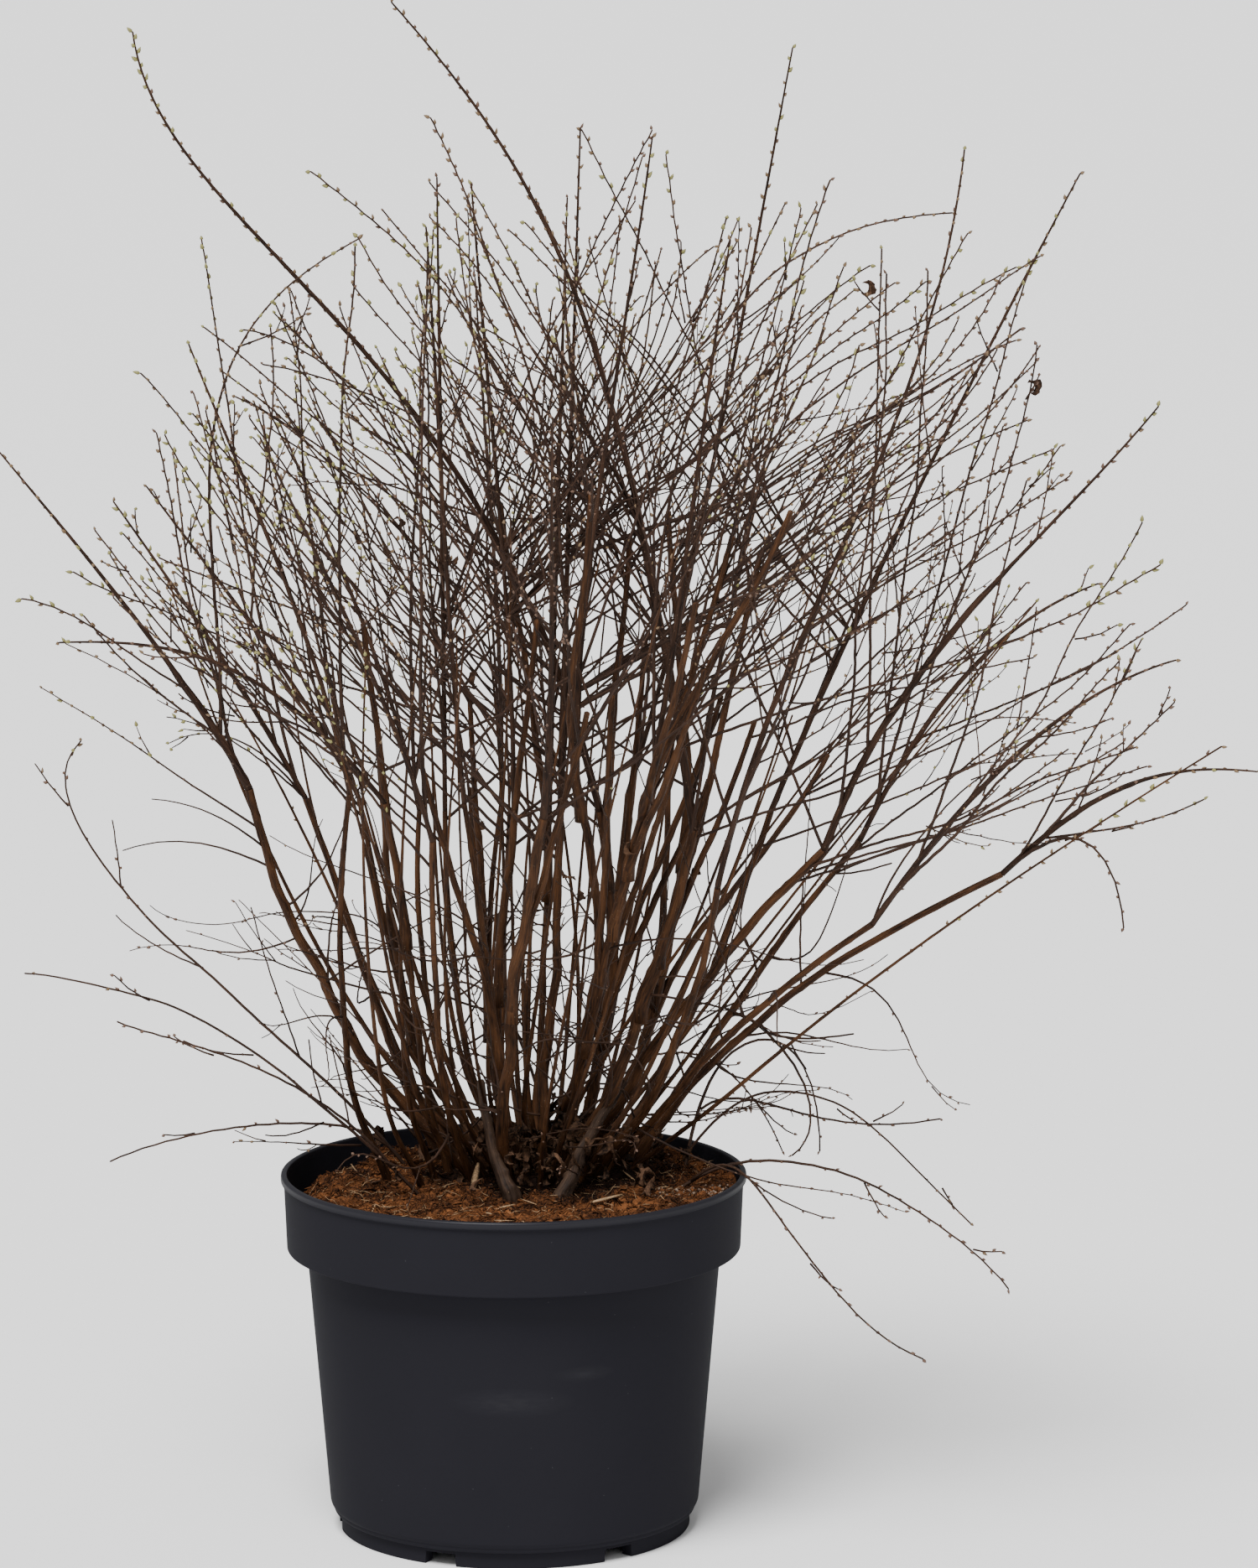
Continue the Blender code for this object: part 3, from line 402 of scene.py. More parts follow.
def unit(vector):
    return vector / np.linalg.norm(vector, axis=-1, keepdims=True)


def bezier(corners, shares):
    """Points of the curve that four corners guide, at the given shares of its run."""
    along = np.asarray(shares, dtype=float)[:, None]
    back = 1.0 - along
    start, low, high, tip = corners
    near_root = start * back**3 + 3 * low * along * back**2
    return near_root + 3 * high * along**2 * back + tip * along**3


def heading(limb, share):
    """The direction that a limb grows in at a share of its run."""
    nearby = (max(share - 0.01, 0.0), min(share + 0.01, 1.0))
    before, after = bezier(limb.corners, nearby)
    return unit(after - before)


def length_of(limb):
    points = bezier(limb.corners, np.linspace(0.0, 1.0, 9))
    return np.linalg.norm(np.diff(points, axis=0), axis=1).sum()


def thickness_at(limb, shares):
    return limb.thick + (limb.thin - limb.thick) * np.asarray(shares, dtype=float)


def girth_at(limb, shares):
    """A limb's thickness as the eye sees it, thinning faster near its root than near its tip."""
    shares = np.asarray(shares, dtype=float)
    if limb.knuckle:
        past = np.clip((shares - limb.knuckle) / KNUCKLE_FALL, 0.0, 1.0)
        stout = limb.thick * (1.0 - 0.3 * shares)
        slender = SHOOT_TIP_THICKNESS + (KNUCKLE_THICKNESS - SHOOT_TIP_THICKNESS) * (1.0 - shares)
        return stout + (np.minimum(slender, stout) - stout) * past
    return limb.thin + (limb.thick - limb.thin) * (1.0 - shares)**GIRTH_FALL


def turned_off(direction, leave, azimuth):
    """A direction that leaves another by an angle, towards an azimuth round it."""
    side = unit(np.cross(direction, UP) + np.array((1e-6, 0.0, 0.0)))
    lift = np.cross(side, direction)
    outward = side * math.cos(azimuth) + lift * math.sin(azimuth)
    return direction * math.cos(leave) + outward * math.sin(leave)


def springing(start, direction, reach, lift):
    """The corners of a limb that leaves one way and rises a little at its tip."""
    tip = start + direction * reach + UP * reach * lift
    return start, start + direction * reach / 3, start + direction * reach * 2 / 3, tip


def clear_of_pot(points, radii):
    """Whether a limb stays over the peat, over the lip or outside the pot. It may stand on peat."""
    reach = np.linalg.norm(points[:, :2], axis=1)
    low = points[:, 2] - np.append(0.0, radii[1:])
    over_rim = low > POT_HEIGHT + RIM_CLEARANCE
    over_peat = (reach + radii < LIP_RADIUS - RIM_WIDTH) & (low > PEAT_LEVEL)
    outside = (reach - radii > LIP_RADIUS + RIM_CLEARANCE) & (low > RIM_CLEARANCE)
    return bool(np.all(over_rim | over_peat | outside))


def seen_at(pixel, y):
    """The place at a depth y that the camera sees at one of the photo's pixels."""
    width, height = PHOTO_SIZE
    focal = LENS / SENSOR * height
    across = (pixel[0] - width / 2) / focal
    rise = (height / 2 - pixel[1]) / focal
    cosine, sine = math.cos(CAMERA_DROP), math.sin(CAMERA_DROP)
    ray = np.array((across, cosine + rise * sine, rise * cosine - sine))
    eye = np.array((CAMERA_X, -CAMERA_DISTANCE, CAMERA_HEIGHT))
    return eye + ray * (y - eye[1]) / ray[1]


class Room:
    """The limbs placed so far, as straight runs, so that the next limb can be kept clear of them."""

    def __init__(self):
        self.starts = np.empty((0, 3))
        self.spans = np.empty((0, 3))
        self.radii = np.empty(0)
        self.families = np.empty(0, dtype=int)

    def add(self, limb, family):
        shares = np.linspace(0.0, 1.0, ROOM_RUNS + 1)
        points = bezier(limb.corners, shares)
        self.starts = np.vstack((self.starts, points[:-1]))
        self.spans = np.vstack((self.spans, np.diff(points, axis=0)))
        self.radii = np.append(self.radii, thickness_at(limb, shares[:-1]) / 2)
        self.families = np.append(self.families, np.full(ROOM_RUNS, family))

    def is_clear(self, limb, family, clearance, root):
        """Whether a limb keeps clear of the others. Its root may touch the limbs of its family."""
        count = max(4, int(length_of(limb) / SAMPLE_STEP) + 1)
        shares = np.linspace(0.0, 1.0, count)
        points = bezier(limb.corners, shares)
        radii = thickness_at(limb, shares) / 2
        if not clear_of_pot(points, radii):
            return False
        offsets = points[:, None, :] - self.starts[None, :, :]
        along = (offsets * self.spans).sum(axis=2) / (self.spans**2).sum(axis=1)
        nearest = offsets - np.clip(along, 0.0, 1.0)[:, :, None] * self.spans
        gaps = np.linalg.norm(nearest, axis=2) - radii[:, None] - self.radii
        own = self.families == family
        past_root = np.linalg.norm(points - points[0], axis=1) > root
        others_gap = gaps[:, ~own].min(initial=np.inf)
        own_gap = gaps[past_root][:, own].min(initial=np.inf)
        return others_gap >= clearance and own_gap >= OWN_CLEARANCE


def in_crown(point):
    place = (point - CROWN_MIDDLE) / CROWN_REACH
    return np.linalg.norm(place) <= CROWN_MARGIN


def reach_of_crown(start, direction):
    """How far the crown's surface is from a point inside it, in a direction."""
    place = (start - CROWN_MIDDLE) / CROWN_REACH
    step = direction / CROWN_REACH
    slope = np.dot(place, step) / np.dot(step, step)
    rest = (1.0 - np.dot(place, place)) / np.dot(step, step)
    return -slope + math.sqrt(max(slope**2 + rest, 0.0))


def cane_limb(cane):
    foot = np.array((*cane.foot, PEAT_LEVEL + TOUCH))
    fork = np.array(cane.fork)
    run = fork - foot
    bow = np.array((cane.bow, 0.0, 0.0))
    corners = (foot, foot + run / 3 + bow, foot + run * 2 / 3 + bow, fork)
    return Limb(corners, cane.thickness, cane.thickness * CANE_TIP_SHARE)


def tip_limb(start, along, row, thickness):
    """A shoot from a start to a named tip: a gentle arch, or bowed as its row says."""
    tip = np.array(row[:3])
    run = tip - start
    reach = np.linalg.norm(run)
    if len(row) > 3:
        low_x, low_z, high_x, high_z = row[3:]
        low = start + run / 3 + np.array((low_x, 0.0, low_z))
        high = start + run * 2 / 3 + np.array((high_x, 0.0, high_z))
    else:
        low = start + unit(run / reach + along * FOLLOW) * reach * FOLLOW_SHARE
        high = start + run * 2 / 3 + UP * reach * ARCH
    return Limb((start, low, high, tip), thickness, SHOOT_TIP_THICKNESS)


def perch(canes):
    """Where the hanging mass starts, just clear of its cane's bark, and the way it leaves it."""
    name, share, way = PERCH
    along = heading(canes[name], share)
    outward = unit(np.array(way) - along * np.dot(way, along))
    clear = thickness_at(canes[name], share) / 2 + TOUCH
    return bezier(canes[name].corners, (share,))[0] + outward * clear, outward


def low_limbs(name, canes):
    """The stem of a low mass and the branches that start on it."""
    if name in LOW_STEMS:
        stem = tuple(np.array(corner) for corner in LOW_STEMS[name])
    else:
        stem = (perch(canes)[0], *(np.array(corner) for corner in PERCHED_STEM))
    limbs = [Limb(stem, LOW_STEM_THICKNESS, SHOOT_TIP_THICKNESS)]
    for share, *corners in LOW_BRANCHES[name]:
        start = bezier(stem, (share,))[0]
        branch = (start, *(np.array(corner) for corner in corners))
        limbs.append(Limb(branch, LOW_BRANCH_THICKNESS, SHOOT_TIP_THICKNESS))
    return limbs


def grown_limb(axis, number, seed):
    """A shoot that the rule grows from a mass's first shoot, out to the crown's surface."""
    chance = np.random.default_rng(seed)
    share = FIRST_GROWN + GROWN_STEP * number + chance.uniform(*GROWN_SPREAD)
    start = bezier(axis.corners, (share,))[0]
    leave = math.radians(chance.uniform(*GROWN_LEAVE))
    direction = turned_off(heading(axis, share), leave, chance.uniform(0.0, math.tau))
    surface = reach_of_crown(start, unit(direction + UP * GROWN_LIFT))
    reach = np.clip(surface * chance.uniform(*GROWN_FILL), *GROWN_REACH)
    thickness = GROWN_THICKNESS[0] + GROWN_THICKNESS[1] * reach
    return Limb(springing(start, direction, reach, GROWN_LIFT), thickness, SHOOT_TIP_THICKNESS)


def twig_limb(shoot, number, count, seed, leaving=TWIG_LEAVE):
    """A side twig on a shoot: alternate round it, longer low down and shorter towards the tip."""
    chance = np.random.default_rng(seed)
    first, last = TWIG_SHARES
    share = first + (last - first) * (number + chance.uniform(0.2, 0.8)) / count
    leave = math.radians(chance.uniform(*leaving))
    azimuth = number * TURN + seed[1] + chance.uniform(*TURN_SPREAD)
    direction = turned_off(heading(shoot, share), leave, azimuth)
    reach = length_of(shoot) * TWIG_REACH_SHARE * (TWIG_REACH_END - share)
    reach = np.clip(reach * chance.uniform(*TWIG_REACH_SPREAD), *TWIG_REACH)
    start = bezier(shoot.corners, (share,))[0]
    corners = springing(start, direction, reach, TWIG_LIFT)
    return Limb(corners, TWIG_THICKNESS, TWIG_TIP_THICKNESS)


def settled(limb, room, family, root):
    """The limb, bent a little to the front or back where it would touch another, or no limb."""
    start, low, high, tip = limb.corners
    for step in SIDE_STEPS:
        bend = np.array((0.0, step, 0.0))
        bent = limb._replace(corners=(start, low + bend, high + bend, tip))
        if room.is_clear(bent, family, SHOOT_CLEARANCE, root):
            return [bent]
    return []


def families_of(canes):
    """Each mass's family: the cane that carries it, and no other mass, shares its number."""
    families = {name: number for number, name in enumerate(canes)}
    for number, name in enumerate(LOW_BRANCHES, len(canes)):
        families["low_" + name] = number if name in LOW_STEMS else families[PERCH[0]]
    return families


# What has grown: the canes by name, and for each mass its shoots and its side twigs
Growth = namedtuple("Growth", "canes families shoots twigs")
# The whole plant: canes and their stems by name, and the rest as pairs of a mass and a limb
Plant = namedtuple("Plant", "canes stems suckers shoots twigs sprigs")


def grown_as_source():
    """The limbs of the part's source, by its rule and in its order."""
    room = Room()
    canes = {name: cane_limb(cane) for name, cane in CANES.items()}
    families = families_of(canes)
    shoots = {name: [] for name in families}
    twigs = {name: [] for name in families}

    def place(layer, name, limbs):
        for limb in limbs:
            room.add(limb, families[name])
        layer[name].extend(limbs)

    for name, limb in canes.items():
        room.add(limb, families[name])
    for name, limb in canes.items():
        along = heading(limb, 1.0)
        stem = tip_limb(limb.corners[3] + along * TOUCH, along, TIPS[name][0],
                        limb.thin * STEM_THICKNESS_SHARE)
        place(shoots, name, settled(stem, room, families[name], TWIG_ROOT))
    for name in LOW_BRANCHES:
        for limb in low_limbs(name, canes):
            place(shoots, "low_" + name, settled(limb, room, families["low_" + name], LOW_ROOT))
    for name in canes:
        axis = shoots[name][0]
        for number, row in enumerate(TIPS[name][1:]):
            share = FIRST_BRANCH + BRANCH_STEP * number
            start = bezier(axis.corners, (share,))[0]
            limb = tip_limb(start, heading(axis, share), row, SHOOT_THICKNESS)
            place(shoots, name, settled(limb, room, families[name], BRANCH_ROOT))
    for name in canes:
        for number in range(GROWN_SHOOTS):
            place(shoots, name, grown_clear(shoots[name][0], number, room, families[name]))
    for name in families:
        for shoot_number, shoot in enumerate(shoots[name]):
            count = int(length_of(shoot) / TWIG_SPACING)
            for number in range(1, count, TWIG_EVERY):
                seed = (SEED, TWIG_SEED + shoot_number, families[name], number)
                twig = twig_limb(shoot, number, count, seed)
                if name in canes and not in_crown(twig.corners[3]):
                    continue
                if room.is_clear(twig, families[name], TWIG_CLEARANCE, TWIG_ROOT):
                    place(twigs, name, [twig])
    return Growth(canes, families, shoots, twigs)


def grown_clear(axis, number, room, family):
    """The first clear shoot of a few that the rule grows at one place, or none."""
    for attempt in range(ATTEMPTS):
        limb = grown_limb(axis, number, (SEED, family, number, attempt))
        if room.is_clear(limb, family, SHOOT_CLEARANCE, GROWN_ROOT):
            return [limb]
    return []


def fits(limb):
    """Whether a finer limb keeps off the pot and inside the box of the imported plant."""
    points = bezier(limb.corners, np.linspace(0.0, 1.0, 8))
    low, high = (np.array(corner) for corner in CAD_BOX)
    inside = np.all(points > low + BOX_MARGIN) and np.all(points < high - BOX_MARGIN)
    return bool(inside) and clear_of_pot(points, np.full(8, TWIG_THICKNESS / 2))


def slimmed(limb, share):
    """A limb of the source as thin as the real one: only the solids need its full thickness."""
    return limb._replace(thick=limb.thick * share)


def finer(limb, chance, thickness):
    """A side twig as thin as the real one."""
    return limb._replace(thick=chance.uniform(*thickness), thin=FINE_TIP_THICKNESS)


def sucker(number, growth):
    """A thin young cane that springs from the peat beside a thick one and follows it up."""
    chance = np.random.default_rng((SEED, 90, number))
    names = list(growth.canes)
    name = names[(number * 7 + 3) % len(names)]
    beside = growth.canes[name]
    away = chance.uniform(0.0, math.tau)
    offset = np.array((math.cos(away), math.sin(away), 0.0)) * chance.uniform(*SUCKER_OFFSET)
    foot, low, high, fork = beside.corners
    inward = (np.array(CLUMP) - foot) * (1.0, 1.0, 0.0) * chance.uniform(*SUCKER_INWARD)
    spread = chance.uniform(1.2, 2.2)
    tip = fork + (fork - high) * chance.uniform(0.8, 2.4) + offset * spread * 2
    bends = chance.normal(0.0, SUCKER_BEND, (2, 3)) * (1.0, 1.0, 0.0)
    corners = (foot + offset + inward, low + offset * spread + inward * 0.5 + bends[0],
               fork - (fork - low) * 0.25 + offset * spread + bends[1], tip)
    return name, Limb(corners, chance.uniform(*SUCKER_THICKNESS), SHOOT_TIP_THICKNESS)


def tangle_twig(number, growth):
    """A fine curling twig low on a cane."""
    chance = np.random.default_rng((SEED, 91, number))
    name = list(growth.canes)[number % len(growth.canes)]
    cane = growth.canes[name]
    share = chance.uniform(*TANGLE_SHARES)
    start = bezier(cane.corners, (share,))[0]
    leave = math.radians(chance.uniform(35.0, 80.0))
    direction = turned_off(heading(cane, share), leave, chance.uniform(0.0, math.tau))
    reach = chance.uniform(*TANGLE_REACH)
    curl = chance.normal(0.0, 0.16, 3) * reach
    sag = UP * reach * chance.uniform(-0.30, 0.25)
    corners = (start, start + direction * reach * 0.35 + curl,
               start + direction * reach * 0.7 - curl * 0.6 + sag, start + direction * reach + sag)
    return name, Limb(corners, chance.uniform(*TANGLE_THICKNESS), FINE_TIP_THICKNESS)


def knuckle_share(name, growth):
    """How far up its run a stem was once cut back, and now bears a spray of long shoots."""
    chance = np.random.default_rng((SEED, 87, growth.families[name]))
    shares = np.linspace(0.0, KNUCKLE_LAST, 40)
    heights = bezier(growth.shoots[name][0].corners, shares)[:, 2]
    below = np.count_nonzero(heights < chance.uniform(*KNUCKLE_HEIGHT))
    return shares[min(below, 39)]


def points_along(runs):
    """Points of some limbs: their masses, places, and the ways that they grow."""
    names, places, ways = [], [], []
    for name, limb, first, last in runs:
        for share in np.linspace(first, last, 5):
            names.append(name)
            places.append(bezier(limb.corners, (share,))[0])
            ways.append(heading(limb, share))
    return names, np.array(places), np.array(ways)


def bearing_points(growth):
    """Points that a long shoot may leave: those near the canes' forks and the stems' knuckles."""
    runs = [(name, limb, 0.90, 1.0) for name, limb in growth.canes.items()]
    for name in growth.canes:
        knuckle = knuckle_share(name, growth)
        runs.append((name, growth.shoots[name][0], max(knuckle - 0.06, 0.02), knuckle + 0.04))
    return points_along(runs)


def cut_stem(row, number, growth):
    """An old stem that leaves a cane and ends, cut back, at a place that shows in the photo."""
    tip = seen_tip(row[:2], number)
    names, places, ways = points_along([(name, limb, 0.35, 0.95)
                                        for name, limb in growth.canes.items()])
    run = tip - places
    reach = np.linalg.norm(run, axis=1)
    leave = np.arccos(np.clip((run * ways).sum(axis=1) / reach, -1.0, 1.0))
    cost = ((leave - CUT_LEAVE[0]) / CUT_LEAVE[1])**2 + ((reach - CUT_REACH[0]) / CUT_REACH[1])**2
    best = np.argmin(cost)
    start, way, reach = places[best], ways[best], reach[best]
    corners = (start, start + way * reach / 3, tip - unit(run[best] + UP * 0.2 * reach) * reach / 3,
               tip)
    return names[best], Limb(corners, *CUT_THICKNESS)


def leaning_out(place):
    """The way that long shoots grow at a place: up, and leaning out from the crown's axis."""
    out = place[:2] - LEAN_AXIS
    lean = np.array(LEAN) + (LEAN_RIGHT * max(place[0] - LEAN_RIGHT_START, 0.0), 0.0)
    sideways = out / (np.abs(out) + LEAN_EASE) * np.tan(lean)
    return unit(np.array((*sideways, 1.0)))


def seen_shoot(tip, chance, bearers):
    """A long shoot to a tip, from the limb that it can leave most naturally."""
    names, places, ways = bearers
    run = tip - places
    reach = np.linalg.norm(run, axis=1)
    leave = np.arccos(np.clip((run * ways).sum(axis=1) / reach, -1.0, 1.0))
    slant = np.arccos(np.clip(run @ leaning_out(tip) / reach, -1.0, 1.0))
    cost = ((leave - SEEN_LEAVE[0]) / SEEN_LEAVE[1])**2 + ((reach - SEEN_REACH[0]) / SEEN_REACH[1])**2
    cost = cost + (slant / SEEN_SLANT)**2 + 9.0 * (places[:, 2] < SEEN_START)
    best = np.argmin(cost + chance.normal(0.0, 0.7, len(cost)))
    start, run, reach, way = places[best], run[best], reach[best], ways[best]
    bow = chance.normal(0.0, LONG_BOW, 3) * reach
    low = start + run / 3 - UP * reach * chance.uniform(0.0, 0.05) + bow * 0.4
    high = start + run * 2 / 3 - UP * reach * chance.uniform(0.0, 0.07) + bow
    return names[best], long_limb((start, low, high, tip))


def long_limb(corners):
    """A long shoot along its guiding corners, thicker the longer it is."""
    reach = np.linalg.norm(corners[3] - corners[0])
    return Limb(corners, LONG_THICKNESS[0] + LONG_THICKNESS[1] * reach, LONG_TIP_THICKNESS)


def slanting_shoot(name, axis, share, chance, loss, spread=LONG_SPREAD):
    """A long shoot that leaves a limb and leans out to the crown's surface, or none."""
    start = bezier(axis.corners, (share,))[0]
    if chance.random() < loss or not in_share_of_crown(start, LONG_CROWN):
        return []
    aside = (start[0] - LEAN_AXIS[0]) / LONG_CROSS_WIDTH
    crossing = -1.0 if chance.random() < LONG_CROSS * math.exp(-aside**2 / 2) else 1.0
    way = leaning_out(start) * (crossing, 1.0, 1.0)
    direction = unit(way + chance.normal(0.0, spread, 3))
    reach = np.clip(reach_of_crown(start, direction) * chance.uniform(*LONG_FILL), *LONG_REACH)
    bow = chance.normal(0.0, LONG_BOW, 3) * reach
    low = start + direction * reach / 3
    high = start + direction * reach * 2 / 3 + bow
    tip = start + (direction + UP * chance.uniform(*LONG_RISE)) * reach
    limb = long_limb((start, low, high, tip))
    return [(name, limb)] if heading(limb, 0.5)[2] > LONG_LEAST_RISE else []


def slanting_shoots(name, growth):
    """The long shoots of one cane: a few round its fork and a few at its stem's knuckle."""
    chance = np.random.default_rng((SEED, 89, growth.families[name]))
    cane, stem = growth.canes[name], growth.shoots[name][0]
    knuckle = knuckle_share(name, growth)
    outer = np.linalg.norm(cane.corners[3][:2] - CROWN_MIDDLE[:2])
    shoots = []
    for share in chance.uniform(1.0 - FORK_SPREAD, 1.0, FORK_SHOOTS):
        shoots.extend(slanting_shoot(name, cane, share, chance, outer * FORK_OUTER_LOSS))
    for share in chance.normal(knuckle, KNUCKLE_SPREAD, KNUCKLE_SHOOTS):
        shoots.extend(slanting_shoot(name, stem, max(share, 0.02), chance, outer * LONG_OUTER_LOSS))
    return shoots


def in_share_of_crown(point, share):
    """Whether a point lies within the crown's body shrunk to a share of its size."""
    return np.linalg.norm((point - CROWN_MIDDLE) / CROWN_REACH) < share


def seen_tip(pixel, number):
    """A tip that shows in the photo, put forward or back within the crown's depth there."""
    x, _, z = seen_at(pixel, 0.0)
    across = ((x - CROWN_MIDDLE[0]) / CROWN_REACH[0])**2 + ((z - CROWN_MIDDLE[2]) / CROWN_REACH[2])**2
    depth = CROWN_REACH[1] * math.sqrt(max(1.0 - across, 0.04))
    forward = (number * GOLDEN_SHARE % 1.0 * 2.0 - 1.0) * SEEN_DEPTH
    return seen_at(pixel, CROWN_MIDDLE[1] + depth * forward)


def side_shoot(row, growth):
    """A thin shoot that leaves its cane sideways, as its row says."""
    name, share, forward, *corners = row
    start = bezier(growth.canes[name].corners, (share,))[0]
    guided = [seen_at(pixel, start[1] + forward * step / 3)
              for step, pixel in enumerate(corners, 1)]
    return name, Limb((start, *guided), 0.0024, 0.0011)


@lru_cache(maxsize=1)
def plant():
    """The whole plant: the source's limbs, then young canes, long shoots, twigs and sprigs."""
    growth = grown_as_source()
    families = growth.families
    room = Room()
    for name in families:
        for limb in growth.shoots[name] + ([growth.canes[name]] if name in growth.canes else []):
            room.add(limb, families[name])
    suckers = []
    for number in range(SUCKERS):
        name, limb = sucker(number, growth)
        if fits(limb) and room.is_clear(limb, families[name], OWN_CLEARANCE, 0.0):
            room.add(limb, families[name])
            suckers.append((name, limb))
    bearers = bearing_points(growth)
    shoots = [side_shoot(row, growth) for row in SIDE_SHOOTS]
    long = []
    for number, row in enumerate(CUT_STEMS):
        name, stem = cut_stem(row, number, growth)
        room.add(stem, families[name])
        suckers.append((name, stem))
        chance = np.random.default_rng((SEED, 85, number))
        for share in chance.uniform(*CUT_SHARES, row[2]):
            long.extend(slanting_shoot(name, stem, share, chance, 0.0, CUT_SPREAD))
    for number, pixel in enumerate(SEEN_TIPS):
        chance = np.random.default_rng((SEED, 88, number))
        long.append(seen_shoot(seen_tip(pixel, number), chance, bearers))
    for name in growth.canes:
        long.extend(slanting_shoots(name, growth))
    for name, limb in long:
        for step in SIDE_STEPS[:7]:
            bend = np.array((0.0, step, 0.0))
            start, low, high, tip = limb.corners
            bent = limb._replace(corners=(start, low + bend, high + bend, tip))
            if fits(bent) and room.is_clear(bent, families[name], LONG_CLEARANCE, BRANCH_ROOT):
                room.add(bent, families[name])
                shoots.append((name, bent))
                break
    twigs = [(name, slimmed(limb, TWIG_GIRTH)) for name in families for limb in growth.twigs[name]]
    bearing = [(name, number, shoot) for name in growth.canes
               for number, shoot in enumerate(growth.shoots[name])]
    bearing += [(name, 60 + number, limb) for number, (name, limb) in enumerate(suckers)]
    bearing += [(name, 200 + number, limb) for number, (name, limb) in enumerate(shoots)]
    for name, shoot_number, shoot in bearing:
        count = int(length_of(shoot) / TWIG_SPACING)
        for number in range(3, count, FINE_EVERY):
            seed = (SEED, TWIG_SEED + shoot_number, families[name], number)
            chance = np.random.default_rng((*seed, 1))
            twig = twig_limb(shoot, number, count, seed, FINE_LEAVE)
            place = (twig.corners[3] - CROWN_MIDDLE) / CROWN_REACH
            low = twig.corners[0][2] < FINE_START
            if np.linalg.norm(place) < FINE_CROWN and fits(twig) and not low:
                twigs.append((name, finer(twig, chance, FINE_TWIG_THICKNESS)))
    for number in range(TANGLE_TWIGS):
        name, twig = tangle_twig(number, growth)
        if fits(twig):
            twigs.append((name, twig))
    sprigs = []
    for twig_number, (name, twig) in enumerate(twigs):
        if name not in growth.canes:
            continue
        for number in range(int(length_of(twig) / SPRIG_SPACING)):
            chance = np.random.default_rng((SEED, 92, twig_number, number))
            if chance.random() > SPRIG_SHARE:
                continue
            share = chance.uniform(*SPRIG_SHARES)
            leave = math.radians(chance.uniform(24.0, 44.0))
            direction = turned_off(heading(twig, share), leave, chance.uniform(0.0, math.tau))
            reach = np.clip(length_of(twig) * (1.0 - share) * chance.uniform(0.3, 0.9), *SPRIG_REACH)
            start = bezier(twig.corners, (share,))[0]
            sprig = Limb(springing(start, direction, reach, TWIG_LIFT), SPRIG_THICKNESS,
                         FINE_TIP_THICKNESS)
            if fits(sprig):
                sprigs.append((name, sprig))
    canes = {name: limb._replace(thick=limb.thick * CANE_GIRTH, thin=limb.thin * STEM_GIRTH)
             for name, limb in growth.canes.items()}
    stems = {name: slimmed(growth.shoots[name][0], STEM_GIRTH)._replace(
        knuckle=knuckle_share(name, growth)) for name in growth.canes}
    shoots += [(name, slimmed(limb, SHOOT_GIRTH)) for name in families
               for number, limb in enumerate(growth.shoots[name])
               if number or name not in growth.canes]
    return Plant(canes, stems, suckers, shoots, twigs, sprigs)


def lattice(cells, seed):
    """A value between 0 and 1 for each whole-numbered cell, always the same for the same cell."""
    mixed = cells[..., 0] * 73856093 ^ cells[..., 1] * 19349663 ^ cells[..., 2] * 83492791
    mixed = (mixed + seed * 2654435761) & 0x7FFFFFFF
    mixed = ((mixed >> 13) ^ mixed) * 1274126177 & 0x7FFFFFFF
    return (mixed >> 7 & 0xFFFF) / 0xFFFF


def noise(places, seed=0):
    """Smooth noise from -1 to 1: lattice values blended by the place's smoothed share of a cell."""
    low = np.floor(places).astype(np.int64)
    share = places - low
    share = share * share * (3.0 - 2.0 * share)
    total = np.zeros(places.shape[:-1])
    for corner in np.ndindex(2, 2, 2):
        weight = np.ones(places.shape[:-1])
        for axis in range(3):
            weight = weight * (share[..., axis] if corner[axis] else 1.0 - share[..., axis])
        total = total + weight * lattice(low + np.array(corner), seed)
    return total * 2.0 - 1.0


def swept(lines, wide, flat, sides, facing=None, tip_out=0.0, lift=0.0, shift=0.0):
    """Closed tubes along many lines at once, each an array of sections by 3.

    A point of a tube is its line's point, plus the half-width times the cosine of its angle across,
    plus the half-thickness times the sine of it and any lift upwards. Each end closes on a pole,
    and the tip's stands out from the last ring by tip_out.
    """
    tubes, sections = lines.shape[:2]
    along = unit(np.gradient(lines, axis=1))
    if facing is None:
        mean = np.abs(unit(lines[:, -1] - lines[:, 0]))
        facing = np.eye(3)[np.argmin(mean, axis=1)]
    across = facing[:, None, :] - along * (along * facing[:, None, :]).sum(2, keepdims=True)
    across = unit(across)
    upward = np.cross(along, across)
    angles = np.linspace(0.0, math.tau, sides, endpoint=False)
    cosine, sine = np.cos(angles), np.sin(angles)
    wide = np.broadcast_to(wide, (tubes, sections, sides)) if np.ndim(wide) == 3 else wide[..., None]
    flat = np.broadcast_to(flat, (tubes, sections, sides)) if np.ndim(flat) == 3 else flat[..., None]
    rise = flat * sine + lift
    rings = (lines[:, :, None, :] + across[:, :, None, :] * (wide * cosine)[..., None]
             + upward[:, :, None, :] * rise[..., None])
    tip = lines[:, -1:] + along[:, -1:] * tip_out
    points = np.concatenate((lines[:, :1], rings.reshape(tubes, -1, 3), tip), axis=1)
    faces = tube_faces(sections, sides)
    size = points.shape[1]
    numbers = faces[None] + (np.arange(tubes) * size)[:, None, None]
    return Shape(points.reshape(-1, 3), numbers.reshape(-1, 3),
                 tube_places(lines, wide, sections, sides, shift).reshape(-1, 3, 2))


